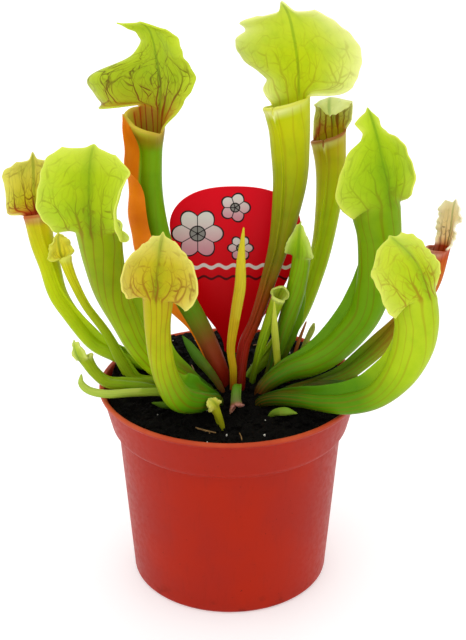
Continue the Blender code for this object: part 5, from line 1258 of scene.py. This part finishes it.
def drill(piece, angle):
    """Takes one drain hole out of the pot's floor with an exact Boolean."""
    around = turns(DRAIN_HOLE_SIDES)
    points = DRAIN_HOLE_RADIUS * np.stack([np.cos(around), np.sin(around), 0 * around], -1)
    points = points + [DRAIN_CIRCLE_RADIUS * math.cos(angle), DRAIN_CIRCLE_RADIUS * math.sin(angle), 0]
    top, low = points + [0, 0, 2 * POT_FLOOR], points - [0, 0, 2 * POT_FLOOR]
    mesh = bpy.data.meshes.new("drill")
    shape = bmesh.new()
    upper = [shape.verts.new(point) for point in top * MM]
    lower = [shape.verts.new(point) for point in low * MM]
    shape.faces.new(upper)
    shape.faces.new(lower[::-1])
    for a, b, c, d in zip(lower, lower[1:] + lower[:1], upper[1:] + upper[:1], upper):
        shape.faces.new((a, b, c, d))
    shape.to_mesh(mesh)
    shape.free()
    cutter = bpy.data.objects.new("drill", mesh)
    bpy.context.scene.collection.objects.link(cutter)
    modifier = piece.modifiers.new("drain hole", "BOOLEAN")
    modifier.object = cutter
    modifier.operation = "DIFFERENCE"
    with bpy.context.temp_override(object=piece, active_object=piece):
        bpy.ops.object.modifier_apply(modifier=modifier.name)
    bpy.data.objects.remove(cutter)


class PLANT_OT_peat(bpy.types.Operator):
    """Fill the pot with peat whose skin is crumbly all over"""

    bl_idname = "plant.peat"
    bl_label = "Peat"

    def execute(self, context):
        settings = context.scene.plant
        rings, segments = PEAT_GRID
        angle = turns(segments)
        edge = pot_inside_radius(settings.pot.height / MM - 8, settings.pot) - SOIL_SIDE_GAP
        radii = edge * np.linspace(1.0, 0.0, rings + 1)[:-1, None]
        x, y = radii * np.cos(angle), radii * np.sin(angle)
        lump = settings.peat.lump / MM
        bent_x, bent_y = x + 1.6 * wobble(x / 4, y / 4, 1), y + 1.6 * wobble(x / 4, y / 4, 2)
        crumbs = sum(
            share * crumb_field(bent_x, bent_y, cell, seed)
            for share, cell, seed in CRUMB_LAYERS
        )
        z = soil_height(x, y, settings) + lump * (crumbs - 0.7) + 0.7 * wobble(x / 3, y / 3, 3)
        z[0] = np.minimum(z[0], settings.pot.height / MM - SOIL_EDGE_ROOM)
        low = np.array([[PEAT_BOTTOM], [STEP_HEIGHT - 1.2], [STEP_HEIGHT + 3.0]])
        reach = np.array([[pot_inside_radius(height, settings.pot)] for height in low[:, 0]]) - SOIL_SIDE_GAP
        wall = np.broadcast_arrays(reach * np.cos(angle), reach * np.sin(angle), low)
        grid = np.concatenate([np.stack(wall, -1), np.stack([x, y, z], -1)])
        points = np.vstack([grid.reshape(-1, 3), [(0, 0, PEAT_BOTTOM), (0, 0, z[-1].mean())]])
        piece = add_mesh("peat", points, capped(numbered(grid.shape[:2])), node="soil", sharp=180)
        piece.data.materials.append(peat_material(settings.peat))
        return {"FINISHED"}


def ball():
    """Points and triangles of a 42-point icosphere of radius 1."""
    shape = bmesh.new()
    bmesh.ops.create_icosphere(shape, subdivisions=2, radius=1.0)
    points = np.array([v.co for v in shape.verts])
    faces = np.array([[v.index for v in f.verts] for f in shape.faces])
    shape.free()
    return points, faces


def scattered(count, seed, settings, reach):
    """Random places on the peat's skin, kept off the middle of the crown."""
    random = np.random.default_rng(seed)
    radius = reach * np.sqrt(random.uniform(0.01, 1.0, count))
    angle = random.uniform(0, 2 * math.pi, count)
    x, y = radius * np.cos(angle), radius * np.sin(angle)
    return random, x, y, soil_height(x, y, settings)


def rotated(x, y, turn):
    return x * np.cos(turn) - y * np.sin(turn), x * np.sin(turn) + y * np.cos(turn)


def on_peat(name, points, faces, material):
    piece = add_mesh(name, points.reshape(-1, 3), faces)
    piece.data.materials.append(material)


def grains(name, count, seed, settings, sizes, flat, material):
    """Loose grains as one piece: balls with a random radius at each point, squashed, turned and seated."""
    random, x, y, z = scattered(count, seed, settings, GRAIN_REACH)
    points, faces = ball()
    radius = random.uniform(*sizes, count) * random.uniform(0.7, 1.0, count)
    bumpy = random.uniform(0.72, 1.15, (count, len(points), 1))
    stretch = random.uniform(0.65, 1.3, (count, 1, 3)) * [1, 1, flat]
    turn = random.uniform(0, 2 * math.pi, count)
    shapes = points[None] * bumpy * stretch * radius[:, None, None]
    turned_x, turned_y = rotated(shapes[..., 0], shapes[..., 1], turn[:, None])
    seat = z + 0.35 * radius * flat
    placed = [turned_x + x[:, None], turned_y + y[:, None], shapes[..., 2] + seat[:, None]]
    offsets = (np.arange(count) * len(points))[:, None, None]
    on_peat(name, np.stack(placed, -1), [(faces[None] + offsets).reshape(-1, 3)], material)


class PLANT_OT_crumbs(bpy.types.Operator):
    """Scatter loose peat crumbs, white perlite grains and a few straws on the peat"""

    bl_idname = "plant.crumbs"
    bl_label = "Crumbs, perlite and straw"

    def execute(self, context):
        settings = context.scene.plant
        peat = peat_material(settings.peat)
        perlite = grain_material("perlite", "#b9b4a6", "#f1eee6", 0.8)
        grains("peat_crumbs", settings.peat.crumbs, 11, settings, (0.4, 1.5), 0.7, peat)
        grains("perlite_grains", settings.peat.perlite, 23, settings, (0.35, 0.8), 0.9, perlite)
        random, *place = scattered(STRAWS, 37, settings, STRAW_REACH)
        across = np.linspace(-1, 1, STRAW_POINTS)[:, None]
        sides = turns(STRAW_SIDES)
        spreads = (0, math.pi), (2.0, 6.0), (-0.8, 0.8)
        direction, length, bend = (random.uniform(*spread, STRAWS)[:, None, None] for spread in spreads)
        x, y = rotated(across * length, bend * across**2 + STRAW_RADIUS * np.cos(sides), direction)
        straws = np.broadcast_arrays(x, y, STRAW_RADIUS * np.sin(sides) + 1.0)
        points = np.stack(straws, -1) + np.stack(place, -1)[:, None, None]
        index = numbered((STRAWS, STRAW_POINTS, STRAW_SIDES))
        faces = [grid_faces(one, closed=True) for one in index] + [index[:, 0, ::-1], index[:, -1]]
        on_peat("straws", points, faces, grain_material("dry_straw", "#6c4a24", "#a8834c", 0.7))
        return {"FINISHED"}


class PLANT_OT_card(bpy.types.Operator):
    """Make the plastic picture card on its stake"""

    bl_idname = "plant.card"
    bl_label = "Picture card"

    def execute(self, context):
        settings = context.scene.plant.card
        heights, halves = card_outline()
        across = np.linspace(-1.0, 1.0, CARD_COLUMNS)
        half_thick = settings.thickness / MM / 2
        lift = heights - CARD_MIDDLE
        x = halves[:, None] * across
        ramp_in = np.minimum((1 - np.abs(across)) * halves[:, None] / CARD_BEVEL, 1.0)
        layers = []
        for side in (-1, 1):
            y = CARD_Y + lift[:, None] * math.sin(CARD_LEAN) + side * half_thick * (0.55 + 0.45 * ramp_in)
            z = CARD_MIDDLE + lift[:, None] * math.cos(CARD_LEAN) + 0 * x
            layers.append(np.stack([x + CARD_CENTRE_X, y, z], -1))
        front, behind = numbered((2, *x.shape))
        ends = (front[-1], behind[-1]), (behind[0], front[0])
        edges = (front[:, 0], behind[:, 0]), (behind[:, -1], front[:, -1]), *ends
        rims = [grid_faces(np.stack(edge)) for edge in edges]
        faces = [grid_faces(front), grid_faces(behind)[:, ::-1], *rims]
        piece = add_mesh("card_print", np.stack(layers).reshape(-1, 3), faces, node="label_card")
        piece.data.materials.append(card_material(settings))
        return {"FINISHED"}


class PLANT_OT_pitchers(bpy.types.Operator):
    """Grow the hooded pitchers, large and small"""

    bl_idname = "plant.pitchers"
    bl_label = "Pitchers"

    def execute(self, context):
        for name, leaf in PITCHERS.items():
            pitcher(name, leaf, context.scene.plant.leaf)
        return {"FINISHED"}


class PLANT_OT_blades(bpy.types.Operator):
    """Grow the leaves that have no mouth"""

    bl_idname = "plant.blades"
    bl_label = "Blades and shoots"

    def execute(self, context):
        for name, (spine, faces, thickness, tones) in BLADES.items():
            blade_leaf(name, spine, faces, thickness, tones, context.scene.plant.leaf)
        return {"FINISHED"}


class PLANT_OT_stage(bpy.types.Operator):
    """Set the floor, the soft lights and the camera"""

    bl_idname = "plant.stage"
    bl_label = "Stage"

    def execute(self, context):
        settings = context.scene.plant.stage
        mesh = bpy.data.meshes.new("floor")
        corners = [(x * FLOOR_REACH, y * FLOOR_REACH, 0) for x, y in ((-1, -1), (1, -1), (1, 1), (-1, 1))]
        mesh.from_pydata(corners, [], [(0, 1, 2, 3)])
        floor = bpy.data.objects.new("floor", mesh)
        context.scene.collection.objects.link(floor)
        made, shader = new_material("pale_floor")
        feed(shader, {
            "Base Color": (*settings.floor, 1.0), "Roughness": 0.9,
            "Emission Color": WHITE, "Emission Strength": settings.glow,
        })
        mesh.materials.append(made)
        world = bpy.data.worlds.new("studio")
        context.scene.world = world
        world.use_nodes = True
        feed(world.node_tree.nodes["Background"], {"Color": WHITE, "Strength": settings.sky})
        for name, (place, aim, width) in LIGHTS.items():
            light = bpy.data.lights.new(name, "AREA")
            light.energy = settings.key
            light.size = width
            lamp = bpy.data.objects.new(name, light)
            lamp.location = place
            away = np.array(place) - np.array(aim)
            pitch = math.atan2(math.hypot(away[0], away[1]), away[2])
            lamp.rotation_euler = Euler((pitch, 0, math.atan2(away[0], -away[1])))
            context.scene.collection.objects.link(lamp)
        lens = bpy.data.cameras.new("camera")
        lens.lens = CAMERA_LENS
        lens.sensor_width = SENSOR_WIDTH
        lens.clip_start = 0.01
        camera = bpy.data.objects.new("camera", lens)
        camera.location = CAMERA_PLACE
        camera.rotation_euler = (CAMERA_PITCH, 0, 0)
        context.scene.collection.objects.link(camera)
        context.scene.camera = camera
        context.scene.view_settings.view_transform = "Standard"
        return {"FINISHED"}


class PLANT_PT_panel(bpy.types.Panel):
    """The plant's settings and operators"""

    bl_label = "Potted pitcher plant"
    bl_idname = "PLANT_PT_panel"
    bl_space_type = "VIEW_3D"
    bl_region_type = "UI"
    bl_category = "Pitcher plant"

    def draw(self, context):
        settings = context.scene.plant
        for title, group, operators in (
            ("Pot", settings.pot, ("plant.pot",)),
            ("Peat", settings.peat, ("plant.peat", "plant.crumbs")),
            ("Leaves", settings.leaf, ("plant.pitchers", "plant.blades")),
            ("Card", settings.card, ("plant.card",)),
            ("Stage", settings.stage, ("plant.stage",)),
        ):
            box = self.layout.box()
            box.label(text=title)
            for key in group.__annotations__:
                box.prop(group, key)
            for operator in operators:
                box.operator(operator)


CLASSES = (
    PotSettings, PeatSettings, LeafSettings, CardSettings, StageSettings, PlantSettings,
    PLANT_OT_pot, PLANT_OT_peat, PLANT_OT_crumbs, PLANT_OT_card, PLANT_OT_pitchers, PLANT_OT_blades,
    PLANT_OT_stage, PLANT_PT_panel,
)


def register():
    for made in CLASSES:
        bpy.utils.register_class(made)
    bpy.types.Scene.plant = PointerProperty(type=PlantSettings)


def unregister():
    del bpy.types.Scene.plant
    for made in reversed(CLASSES):
        bpy.utils.unregister_class(made)


def main():
    register()
    for name in ("pot", "peat", "crumbs", "card", "pitchers", "blades", "stage"):
        getattr(bpy.ops.plant, name)()


if __name__ == "__main__":
    main()
